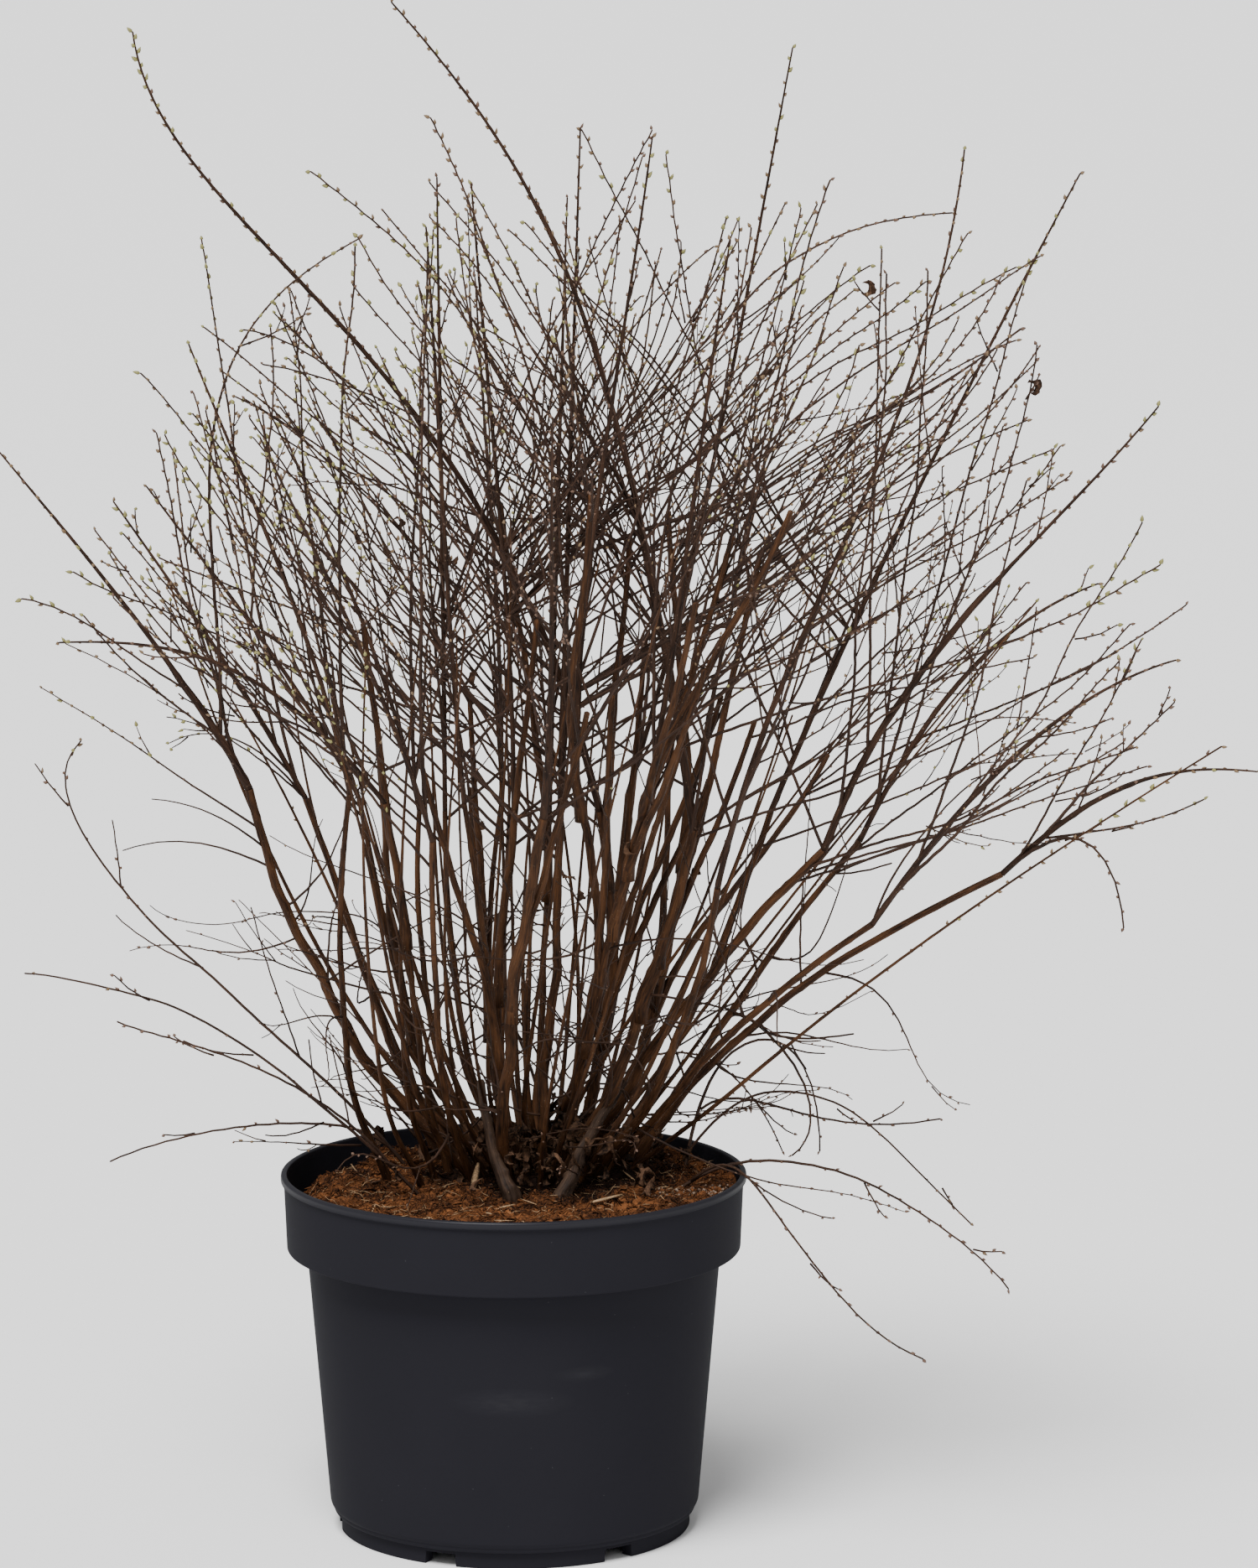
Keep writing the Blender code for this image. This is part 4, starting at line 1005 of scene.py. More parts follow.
@lru_cache(maxsize=None)
def tube_corners(sections, sides):
    """The ring and the angle number of each corner of a tube's triangles, with the poles last."""
    ring, side = np.meshgrid(np.arange(sections - 1), np.arange(sides), indexing="ij")
    ring, side = ring.ravel(), side.ravel()
    lower = np.stack((np.stack((ring, ring, ring + 1), 1), np.stack((side, side + 1, side + 1), 1)), 2)
    upper = np.stack((np.stack((ring, ring + 1, ring + 1), 1), np.stack((side, side + 1, side), 1)), 2)
    fan = np.arange(sides)
    root = np.stack((np.stack((fan * 0 - 1, fan * 0, fan * 0), 1), np.stack((fan, fan + 1, fan), 1)), 2)
    last = fan * 0 + sections - 1
    tip = np.stack((np.stack((last + 1, last, last), 1), np.stack((fan, fan, fan + 1), 1)), 2)
    return np.concatenate((lower, upper, root, tip))


def tube_faces(sections, sides):
    """The triangles of one tube: point 0 is the root's pole, then ring by ring, then the tip's."""
    corners = tube_corners(sections, sides)
    ring, side = corners[..., 0], corners[..., 1] % sides
    numbers = 1 + ring * sides + side
    numbers = np.where(ring < 0, 0, numbers)
    return np.where(ring == sections, 1 + sections * sides, numbers)


def tube_places(lines, wide, sections, sides, shift):
    """Where the corners lie on the bark: round it by the mean radius, and along it by length."""
    corners = tube_corners(sections, sides)
    steps = np.linalg.norm(np.diff(lines, axis=1), axis=2)
    distance = np.concatenate((np.zeros((len(lines), 1)), np.cumsum(steps, axis=1)), axis=1)
    distance = distance + np.arange(len(lines))[:, None] * 0.317 + shift
    ring = np.clip(corners[..., 0], 0, sections - 1)
    girth = math.tau * np.mean(wide, axis=(1, 2))
    around = girth[:, None, None] * (corners[..., 1] / sides)[None]
    return np.stack((around, distance[:, ring]), axis=-1)


def joined(shapes):
    """Several shapes as one."""
    starts = np.cumsum([0] + [len(shape.points) for shape in shapes[:-1]])
    faces = [shape.faces + start for shape, start in zip(shapes, starts)]
    return Shape(np.concatenate([shape.points for shape in shapes]), np.concatenate(faces),
                 np.concatenate([shape.places for shape in shapes]))


def piece(name, shape, material, replaced=()):
    """A finished piece that rides on the plant's one body and stands for the solids it replaces."""
    mesh = bpy.data.meshes.new(name)
    mesh.vertices.add(len(shape.points))
    mesh.vertices.foreach_set("co", shape.points.astype(np.float32).ravel())
    mesh.loops.add(shape.faces.size)
    mesh.loops.foreach_set("vertex_index", shape.faces.astype(np.int32).ravel())
    mesh.polygons.add(len(shape.faces))
    mesh.polygons.foreach_set("loop_start", np.arange(0, shape.faces.size, 3, dtype=np.int32))
    mesh.update(calc_edges=True)
    bark = mesh.uv_layers.new(name="bark")
    bark.uv.foreach_set("vector", shape.places.astype(np.float32).ravel())
    mesh.shade_smooth()
    made = bpy.data.objects.new(name, mesh)
    mesh.materials.append(material)
    bpy.context.scene.collection.objects.link(made)
    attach(made, "root")
    if replaced:
        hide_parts(*replaced)
    return made


def side_of(name):
    """Which third of the crown a mass belongs to."""
    return next((side for side in ("left", "middle") if side in name), "right")


def by_nodes(limbs, spacing, least=3):
    """Limbs grouped by how many sections they get: one at each bud's place along them."""
    groups = {}
    for name, limb in limbs:
        sections = max(least, round(length_of(limb) / spacing) + 1)
        groups.setdefault(sections, []).append((name, limb))
    return groups


def zigzag(count, sections, amount, seed):
    """Small offsets of the lines' nodes, alternate in direction and none at the root."""
    chance = np.random.default_rng((SEED, 93, seed, sections))
    turn = np.arange(sections) * TURN * 1.31
    turn = turn[None] + chance.uniform(0.0, math.tau, (count, 1)) + chance.uniform(-0.5, 0.5,
                                                                                   (count, sections))
    size = amount * chance.uniform(0.4, 1.0, (count, sections))
    size[:, 0] = 0.0
    return turn, size


def wander(lines, shares, seed):
    """A slow sway of a line off its curve, none at its root, by noise along its place."""
    steps = np.linalg.norm(np.diff(lines, axis=1), axis=2).sum(axis=1)[:, None, None]
    place = lines * 11.0 + seed * 3.7
    sway = np.stack([noise(place + shift, 20) for shift in (0.0, 31.0, 57.0)], axis=-1)
    grown = np.minimum(shares * 3.0, 1.0)[None, :, None]
    return sway * grown * np.minimum(steps * WANDER, 0.006)


def twig_shapes(limbs, spacing, sides, amount, seed, swaying=True):
    """Round tapering twigs that kink a little at each node. Also the nodes, for the buds."""
    shapes, nodes = [], []
    for sections, group in sorted(by_nodes(limbs, spacing).items()):
        shares = np.linspace(0.0, 1.0, sections)
        lines = np.array([bezier(limb.corners, shares) for name, limb in group])
        radii = np.array([girth_at(limb, shares) / 2 for name, limb in group])
        along = unit(np.gradient(lines, axis=1))
        across = unit(np.cross(along, UP) + np.array((1e-5, 0.0, 0.0)))
        upward = np.cross(along, across)
        turn, size = zigzag(len(group), sections, amount, seed)
        lean = across * np.cos(turn)[..., None] + upward * np.sin(turn)[..., None]
        lines = lines + lean * size[..., None]
        if swaying:
            lines = lines + wander(lines, shares, seed)
        shapes.append(swept(lines, radii, radii, sides, tip_out=0.001))
        nodes.append((lines[:, 1:].reshape(-1, 3), along[:, 1:].reshape(-1, 3),
                      lean[:, 1:].reshape(-1, 3), radii[:, 1:].reshape(-1),
                      np.tile(shares[1:], len(group))))
    return joined(shapes), [np.concatenate(column) for column in zip(*nodes)]


def drawn_in(line):
    """A cane's line with its lowest part drawn in to the middle of the clump."""
    inward = (np.array(CLUMP) - line) * (1.0, 1.0, 0.0)
    far = np.linalg.norm(inward, axis=1, keepdims=True)
    share, most, fade = FOOT_DRAW
    pull = np.minimum(far * share, most) * np.exp(-((line[:, 2:] - PEAT_LEVEL) / fade)**2)
    return line + inward / far * pull


def bark_shape(limbs, sides, settings, sunk=0.0, gnarled=1.0):
    """Canes with their bark's relief.

    The radius at an angle and a height is the taper's, times one plus lengthwise ridges (noise that
    is fine round the cane and long along it) and knots (a bump at each old bud's height).
    """
    shapes = []
    for number, limb in enumerate(limbs):
        chance = np.random.default_rng((SEED, 94, number))
        length = length_of(limb)
        sections = max(12, int(length / settings.section_step))
        shares = np.linspace(0.0, 1.0, sections)
        line = bezier(limb.corners, shares)
        if sunk:
            line = drawn_in(line)
            line[0] = line[0] - UP * sunk
        radius = girth_at(limb, shares) / 2
        sway = np.clip((radius - settings.sway_radius) * 1.2, 0.0, settings.sway)
        for axis in (0, 1):
            slow, quick = chance.uniform(0.0, math.tau, 2)
            waves = np.sin(shares * length / 0.026 + slow) + 0.4 * np.sin(shares * length / 0.010 + quick)
            line[:, axis] += sway * np.sin(shares * math.pi) * waves
        if sunk:
            flare = (FOOT_FLARE - 1.0) * np.exp(-shares * length / 0.014)
            radius = radius * (1.0 + flare)
        angles = np.linspace(0.0, math.tau, sides, endpoint=False)
        height = np.broadcast_to((shares * length)[:, None], (sections, sides))
        round_x = np.broadcast_to(np.cos(angles), (sections, sides))
        round_y = np.broadcast_to(np.sin(angles), (sections, sides))
        place = np.stack((round_x * 2.2, round_y * 2.2, height * 34.0), axis=-1) + number * 7.7
        fine = np.stack((round_x * 4.6, round_y * 4.6, height * 130.0), axis=-1) + number * 5.1
        ridges = (noise(place, 1) + noise(fine, 2) * 0.5) * settings.ridge * gnarled
        knots = np.zeros((sections, sides))
        for knot in range(int(length / settings.knot_spacing)):
            at = (knot + chance.uniform(0.2, 0.8)) * settings.knot_spacing
            facing = chance.uniform(0.0, math.tau)
            near = np.exp(-((height - at) / 0.0035) ** 2)
            knots += near * np.clip(np.cos(angles - facing), 0.0, 1.0) ** 3
        swelling = 1.0 + ridges + knots * settings.knot * gnarled
        radii = radius[:, None] * swelling
        shapes.append(swept(line[None], radii[None], radii[None], sides, tip_out=0.0015,
                            shift=number * 0.9))
    return joined(shapes)


def bud_shape(places, along, lean, radii, settings, seed, scale):
    """Pointed buds: each stands at a node, leans out from its twig, and tapers in two steps."""
    chance = np.random.default_rng((SEED, 95, seed))
    count = len(places)
    leave = np.radians(chance.uniform(22.0, 42.0, count))[:, None]
    way = unit(along * np.cos(leave) + lean * np.sin(leave))
    length = (settings.bud_length * scale * chance.uniform(0.65, 1.25, count))[:, None]
    root = places + lean * (radii * 0.6)[:, None]
    lines = np.stack((root + way * length * 0.25, root + way * length * 0.62), axis=1)
    width = (settings.bud_width * scale * chance.uniform(0.8, 1.2, count))[:, None] / 2
    half = np.concatenate((width, width * 0.78), axis=1)
    shape = swept(lines, half, half, 4)
    poles = shape.points.reshape(count, -1, 3)
    poles[:, 0] = root
    poles[:, -1] = root + way * length
    return shape._replace(points=poles.reshape(-1, 3))


def leaf_shape(places, ways, lengths, settings, seed):
    """Dead leaves: thin blades, widest past the middle, curled up, cupped and crumpled.

    A blade's line curls on an arc. Its half-width follows the sine of a power of the share along
    it. Its edges lift with the width squared, and wave up and down along the blade.
    """
    chance = np.random.default_rng((SEED, 96, seed))
    count, sections, sides = len(places), 14, 8
    shares = np.linspace(0.0, 1.0, sections)
    side = unit(np.cross(ways, UP) + 1e-4)
    above = np.cross(side, ways)
    curl = chance.uniform(1.2, 4.6, count)[:, None]
    sway = chance.normal(0.0, 0.30, (count, 1)) * np.sin(shares * 3.4)[None]
    reach = np.sin(shares[None] * curl) / curl
    rise = (1.0 - np.cos(shares[None] * curl)) / curl
    steps = np.stack((reach, rise, sway), axis=-1) * lengths[:, None, None]
    basis = np.stack((ways, above, side), axis=1)
    lines = places[:, None] + np.einsum("csk,ckx->csx", steps, basis)
    outline = np.sin(np.clip(shares * 1.02, 0.0, 1.0) ** 0.9 * math.pi) + 0.04
    ragged = 1.0 + 0.32 * chance.uniform(-1.0, 1.0, (count, sections))
    wide = lengths[:, None] * settings.leaf_width * outline[None] * ragged
    cosine = np.cos(np.linspace(0.0, math.tau, sides, endpoint=False))
    cup = chance.uniform(0.2, 1.5, (count, 1, 1)) * np.abs(cosine)
    wave = np.sin(shares[None, :, None] * chance.uniform(7.0, 13.0, (count, 1, 1))
                  + cosine * 2.0 + chance.uniform(0.0, 6.0, (count, 1, 1))) * 0.5 * np.abs(cosine)
    flat = np.full_like(wide, settings.leaf_thickness / 2)
    shape = swept(lines, wide, flat, sides, facing=side, lift=(cup + wave) * wide[..., None])
    creases = [noise(shape.points * 190.0 + shift, 21) for shift in (0.0, 31.0, 57.0)]
    return shape._replace(points=shape.points + np.stack(creases, axis=-1) * settings.crumple)


def rounded(corners, arc=4):
    """A closed outline of (radius, height, rounding) corners, each turned on an arc of its size."""
    corners = np.array(corners, dtype=float)
    points = corners[:, :2]
    before = np.roll(points, 1, axis=0) - points
    after = np.roll(points, -1, axis=0) - points
    near = np.minimum(np.linalg.norm(before, axis=1), np.linalg.norm(after, axis=1)) * 0.45
    size = np.minimum(corners[:, 2], near)[:, None]
    start, end = points + unit(before) * size, points + unit(after) * size
    shares = np.linspace(0.0, 1.0, arc + 1)[None, :, None]
    turn = (start[:, None] * (1 - shares) ** 2 + points[:, None] * 2 * shares * (1 - shares)
            + end[:, None] * shares**2)
    return turn.reshape(-1, 2)


def lathed(radius, height, angles, closed_profile):
    """A surface of revolution: a point is (radius cos angle, radius sin angle, height).

    radius and height are arrays of profile points by angles. A closed profile joins its last point
    to its first, and an open one starts and ends on the axis, where each ring is one pole.
    """
    rows, columns = radius.shape
    points = np.stack((radius * np.cos(angles), radius * np.sin(angles), height), axis=-1)
    row, column = np.meshgrid(np.arange(rows if closed_profile else rows - 1), np.arange(columns),
                              indexing="ij")
    row, column = row.ravel(), column.ravel()
    after_row, after_column = (row + 1) % rows, (column + 1) % columns
    corners = [(row, column), (row, after_column), (after_row, after_column), (after_row, column)]
    numbers = [r * columns + c for r, c in corners]
    faces = np.concatenate((np.stack((numbers[0], numbers[1], numbers[2]), 1),
                            np.stack((numbers[0], numbers[2], numbers[3]), 1)))
    if not closed_profile:
        pole = faces.copy()
        pole[faces < columns] = 0
        pole[faces >= (rows - 1) * columns] = (rows - 1) * columns
        whole = ((pole[:, 0] != pole[:, 1]) & (pole[:, 1] != pole[:, 2]) & (pole[:, 0] != pole[:, 2]))
        faces = pole[whole]
    flat_points = points.reshape(-1, 3)
    used, renumbered = np.unique(faces, return_inverse=True)
    kept = flat_points[used]
    faces = renumbered.reshape(-1, 3)
    return Shape(kept, faces, kept[faces][..., :2])


def pot_shape(settings):
    """The pot's wall, lip and foot ring, turned from one closed outline, with its notches raised."""
    lip = settings.lip_radius
    top = settings.height
    wall = settings.wall
    collar_foot = top - settings.collar_height
    ring = settings.ring_radius
    floor = settings.floor_height
    outline = rounded((
        (ring - settings.ring_width, 0.0, 0.0008), (ring, 0.0, 0.0010),
        (ring, 0.0145, 0.0012), (0.159, 0.021, 0.0030),
        (0.178, collar_foot - 0.0012, 0.0012), (0.1950, collar_foot, 0.0014),
        (0.1974, top - 0.0068, 0.0010), (lip, top - 0.0062, 0.0014),
        (lip, top, 0.0024), (lip - 0.0052, top, 0.0018),
        (0.1974 - wall, top - 0.0030, 0.0010), (0.1950 - wall, collar_foot + wall, 0.0020),
        (0.178 - wall, collar_foot + 0.0012, 0.0016), (0.159 - wall, floor + wall, 0.0030),
        (0.0006, floor + wall, 0.0), (0.0006, floor, 0.0),
        (0.030, floor, 0.0010), (0.0318, 0.0004, 0.0), (0.0322, 0.0004, 0.0),
        (0.034, floor, 0.0010), (ring - settings.ring_width - 0.002, floor, 0.0010),
    ))
    notch = math.radians(60.0)
    half = settings.notch_width / 2 / ring
    edge = 0.0008 / ring
    starts = math.radians(-113.5) + notch * np.arange(6)
    edges = (starts[:, None] + np.array((-half - edge, -half, half, half + edge))).ravel()
    angles = np.sort(np.concatenate((np.linspace(0, math.tau, 240, endpoint=False),
                                     np.mod(edges, math.tau))))
    off = np.abs(np.mod(angles[:, None] - starts[None] + math.pi, math.tau) - math.pi).min(axis=1)
    raised = np.clip((half + edge - off) / edge, 0.0, 1.0) * settings.notch_height
    radius = np.repeat(outline[:, :1], len(angles), axis=1)
    height = np.repeat(outline[:, 1:], len(angles), axis=1)
    on_ring = radius > 0.1
    height = np.where(on_ring, np.maximum(height, raised[None]), height)
    return lathed(radius, height, angles, True)


def peat_height(x, y, feet):
    """How high the peat lies: heaped to the lip in front, low at the back left, up at each stem."""
    radius = np.hypot(x, y)
    share = np.clip(radius / 0.19, 0.0, 1.0)
    facing = (1.0 + np.cos(np.arctan2(y, x) - math.radians(128.0))) / 2
    edge = 0.3035 - 0.0155 * facing**1.2
    level = 0.3025 + (edge - 0.3025) * share**2
    gap = facing**1.5 * np.clip((share - 0.90) / 0.10, 0.0, 1.0) ** 1.5
    level = level - 0.020 * gap - 0.003 * np.clip((share - 0.955) / 0.045, 0.0, 1.0)
    for foot_x, foot_y in feet:
        near = ((x - foot_x) ** 2 + (y - foot_y) ** 2) / 0.016**2
        level = np.maximum(level, 0.2985) * (near < 9) + level * (near >= 9)
        level = level + 0.0022 * np.exp(-near)
    place = np.stack((x, y, np.zeros_like(x)), axis=-1)
    lumps = noise(place * 42.0, 3) * 0.0048 + np.abs(noise(place * 105.0, 4)) * 0.0055 - 0.0025
    return level + lumps + noise(place * 300.0, 5) * 0.0014


def feet_of_stems():
    """Where the canes and the low stems stand on the peat."""
    feet = [cane.foot for cane in CANES.values()]
    return feet + [stem[0][:2] for stem in LOW_STEMS.values()]


def peat_shape(settings):
    """The peat's body: an uneven top on a polar grid, down its side and across its underside."""
    angles = np.linspace(0.0, math.tau, settings.around, endpoint=False)
    radius = np.concatenate(((0.0, settings.radius), np.linspace(settings.radius, 0.0, settings.rings)))
    radius = np.repeat(radius[:, None], len(angles), axis=1)
    height = np.full_like(radius, settings.underside)
    top = radius[2:]
    height[2:] = peat_height(top * np.cos(angles), top * np.sin(angles), feet_of_stems())
    height[-1] = height[-1, 0]
    return lathed(radius, height, angles, False)


def scattered(count, radius, chance):
    """Places spread evenly over a disc."""
    reach = radius * np.sqrt(chance.random(count))
    turn = chance.uniform(0.0, math.tau, count)
    return reach * np.cos(turn), reach * np.sin(turn)


def fibre_shape(count, length, thickness, seed, settings, sides=3):
    """Fibres that lie on the peat, each a short bent strand."""
    chance = np.random.default_rng((SEED, 97, seed))
    x, y = scattered(count, settings.radius - 0.006, chance)
    turn = chance.uniform(0.0, math.tau, count)
    reach = chance.uniform(*length, count)
    shares = np.linspace(-0.5, 0.5, 5)[None]
    bend = chance.normal(0.0, 0.22, (count, 1)) * (0.25 - shares**2) * 4
    along_x, along_y = np.cos(turn)[:, None], np.sin(turn)[:, None]
    line_x = x[:, None] + (along_x * shares - along_y * bend * 0.5) * reach[:, None]
    line_y = y[:, None] + (along_y * shares + along_x * bend * 0.5) * reach[:, None]
    inside = np.minimum(1.0, (settings.radius - 0.003) / np.hypot(line_x, line_y))
    line_x, line_y = line_x * inside, line_y * inside
    lift = thickness * 0.4 + np.abs(chance.normal(0.0, 0.0014, (count, 1)))
    tilt = chance.normal(0.0, 0.20, (count, 1)) * shares * reach[:, None]
    line_z = peat_height(line_x, line_y, feet_of_stems()) + lift + tilt
    lines = np.stack((line_x, line_y, line_z), axis=-1)
    half = thickness / 2 * chance.uniform(0.6, 1.3, (count, 1)) * np.array((0.5, 0.9, 1, 0.9, 0.4))
    return swept(lines, half, half, sides)


def chip_shape(count, length, width, seed, settings):
    """Slivers of bark and wood: flat, blunt at one end and pointed at the other."""
    chance = np.random.default_rng((SEED, 98, seed))
    x, y = scattered(count, settings.radius - 0.012, chance)
    reach = chance.uniform(*length, count)[:, None]
    turn = chance.uniform(0.0, math.tau, count)
    way = np.stack((np.cos(turn), np.sin(turn), chance.normal(0.0, 0.16, count)), axis=-1)
    shares = np.linspace(-0.5, 0.5, 4)[None, :, None]
    base = peat_height(x, y, feet_of_stems()) + 0.0012
    lines = np.stack((x, y, base), axis=-1)[:, None] + way[:, None] * shares * reach[..., None]
    half = chance.uniform(*width, count)[:, None] / 2 * np.array((0.7, 1.0, 0.9, 0.35))
    facing = np.stack((-way[:, 1], way[:, 0], chance.normal(0.0, 0.35, count)), axis=-1)
    return swept(lines, half, half * 0.26, 4, facing=facing)


def seen_on_peat(pixel):
    """Where a pixel of the photo lies on the peat."""
    near, far = seen_at(pixel, -0.2), seen_at(pixel, 0.2)
    share = (PEAT_LEVEL - near[2]) / (far[2] - near[2])
    return near[:2] + (far[:2] - near[:2]) * share


def sliver_shape(rows):
    """Single slivers, placed one by one: a flat bar, blunt at its foot and pointed at its tip."""
    lines, halves, facings = [], [], []
    for pixel, length, width, steep, turn in rows:
        x, y = seen_on_peat(pixel)
        steep, turn = math.radians(steep), math.radians(turn)
        way = np.array((math.cos(turn) * math.cos(steep), math.sin(turn) * math.cos(steep),
                        math.sin(steep)))
        foot = np.array((x, y, peat_height(x, y, feet_of_stems()) + 0.0016))
        lines.append(foot + way * np.linspace(0.0, length, 4)[:, None])
        halves.append(width / 2 * np.array((0.75, 1.0, 0.9, 0.4)))
        facings.append((-math.sin(turn), math.cos(turn), 0.3))
    half = np.array(halves)
    return swept(np.array(lines), half, half * 0.24, 4, facing=np.array(facings))


def crumb_shape(count, size, seed, settings, spot=None):
    """Crumbs of peat: small uneven lumps half sunk in it, all over or round one spot."""
    chance = np.random.default_rng((SEED, 99, seed))
    x, y = scattered(count, settings.radius - 0.004, chance)
    if spot is not None:
        x, y = (spot + chance.normal(0.0, 1.0, (count, 2)) * PALE_SPREAD).T
        inside = np.minimum(1.0, (settings.radius - 0.006) / np.hypot(x, y))
        x, y = x * inside, y * inside
    half = chance.uniform(*size, count) / 2
    base = peat_height(x, y, feet_of_stems()) + half * 0.3
    centre = np.stack((x, y, base), axis=-1)
    way = unit(chance.normal(0.0, 1.0, (count, 3)))
    lines = centre[:, None] + way[:, None] * np.array((-0.4, 0.4))[None, :, None] * half[:, None, None]
    ring = half[:, None] * chance.uniform(0.7, 1.2, (count, 2))
    shape = swept(lines, ring, ring * 0.8, 4)
    poles = shape.points.reshape(count, -1, 3)
    poles[:, 0] = centre - way * half[:, None]
    poles[:, -1] = centre + way * half[:, None]
    return shape._replace(points=poles.reshape(-1, 3))


# Materials

def socket_in(group, name, kind, value):
    made = group.interface.new_socket(name=name, in_out="INPUT", socket_type=kind)
    made.default_value = value


def node_of(tree, kind, at, **values):
    made = tree.nodes.new(kind)
    made.location = at
    for name, value in values.items():
        setattr(made, name, value)
    return made


def ramp(tree, at, stops):
    """A colour ramp through the given stops of (place, value)."""
    made = tree.nodes.new("ShaderNodeValToRGB")
    made.location = at
    elements = made.color_ramp.elements
    while len(elements) < len(stops):
        elements.new(0.5)
    for element, (place, value) in zip(elements, stops):
        element.position = place
        element.color = (value, value, value, 1.0)
    return made


@lru_cache(maxsize=1)
def bark_group():
    """Bark: lengthwise streaks, paler warm patches, fine cracks and pale breathing pores."""
    group = bpy.data.node_groups.new("bark_grain", "ShaderNodeTree")
    socket_in(group, "Dark", "NodeSocketColor", (0.02, 0.01, 0.006, 1))
    socket_in(group, "Warm", "NodeSocketColor", (0.12, 0.05, 0.02, 1))
    socket_in(group, "Pore", "NodeSocketColor", (0.2, 0.14, 0.09, 1))
    socket_in(group, "Streaks", "NodeSocketFloat", 1.0)
    for name, kind in (("Color", "NodeSocketColor"), ("Roughness", "NodeSocketFloat"),
                       ("Height", "NodeSocketFloat")):
        group.interface.new_socket(name=name, in_out="OUTPUT", socket_type=kind)
    links = group.links
    given = node_of(group, "NodeGroupInput", (-1200, 0))
    out = node_of(group, "NodeGroupOutput", (900, 0))
    places = node_of(group, "ShaderNodeUVMap", (-1200, 300), uv_map="bark")
    long = node_of(group, "ShaderNodeMapping", (-1000, 300))
    long.inputs["Scale"].default_value = (900.0, 70.0, 1.0)
    streaks = node_of(group, "ShaderNodeTexNoise", (-800, 300))
    streaks.inputs["Scale"].default_value = 1.0
    streaks.inputs["Detail"].default_value = 4.0
    wide = node_of(group, "ShaderNodeMapping", (-1000, -100))
    wide.inputs["Scale"].default_value = (120.0, 16.0, 1.0)
    patches = node_of(group, "ShaderNodeTexNoise", (-800, -100))
    patches.inputs["Scale"].default_value = 1.0
    patches.inputs["Detail"].default_value = 2.0
    pores_at = node_of(group, "ShaderNodeMapping", (-1000, -450))
    pores_at.inputs["Scale"].default_value = (420.0, 230.0, 1.0)
    pores = node_of(group, "ShaderNodeTexVoronoi", (-800, -450))
    pores.inputs["Scale"].default_value = 1.0
    for mapping, texture in ((long, streaks), (wide, patches), (pores_at, pores)):
        links.new(places.outputs["UV"], mapping.inputs["Vector"])
        links.new(mapping.outputs["Vector"], texture.inputs["Vector"])
    streak_ramp = ramp(group, (-560, 300), ((0.34, 0.0), (0.70, 1.0)))
    patch_ramp = ramp(group, (-560, -100), ((0.42, 0.0), (0.66, 1.0)))
    pore_ramp = ramp(group, (-560, -450), ((0.06, 1.0), (0.13, 0.0)))
    links.new(streaks.outputs["Fac"], streak_ramp.inputs["Fac"])
    links.new(patches.outputs["Fac"], patch_ramp.inputs["Fac"])
    links.new(pores.outputs["Distance"], pore_ramp.inputs["Fac"])
    share = node_of(group, "ShaderNodeMath", (-260, 150), operation="MULTIPLY_ADD")
    share.inputs[1].default_value = 0.55
    links.new(streak_ramp.outputs["Color"], share.inputs[0])
    half_patch = node_of(group, "ShaderNodeMath", (-420, -60), operation="MULTIPLY")
    half_patch.inputs[1].default_value = 0.45
    links.new(patch_ramp.outputs["Color"], half_patch.inputs[0])
    links.new(half_patch.outputs["Value"], share.inputs[2])
    mixed = node_of(group, "ShaderNodeMixRGB", (0, 100))
    links.new(share.outputs["Value"], mixed.inputs["Fac"])
    links.new(given.outputs["Dark"], mixed.inputs["Color1"])
    links.new(given.outputs["Warm"], mixed.inputs["Color2"])
    pored = node_of(group, "ShaderNodeMixRGB", (240, 60))
    links.new(pore_ramp.outputs["Color"], pored.inputs["Fac"])
    links.new(mixed.outputs["Color"], pored.inputs["Color1"])
    links.new(given.outputs["Pore"], pored.inputs["Color2"])
    links.new(pored.outputs["Color"], out.inputs["Color"])
    rough = node_of(group, "ShaderNodeMapRange", (240, -160))
    rough.inputs["To Min"].default_value = 0.52
    rough.inputs["To Max"].default_value = 0.82
    links.new(streaks.outputs["Fac"], rough.inputs["Value"])
    links.new(rough.outputs["Result"], out.inputs["Roughness"])
    height = node_of(group, "ShaderNodeMath", (240, -360), operation="MULTIPLY")
    links.new(streaks.outputs["Fac"], height.inputs[0])
    links.new(given.outputs["Streaks"], height.inputs[1])
    links.new(height.outputs["Value"], out.inputs["Height"])
    return group


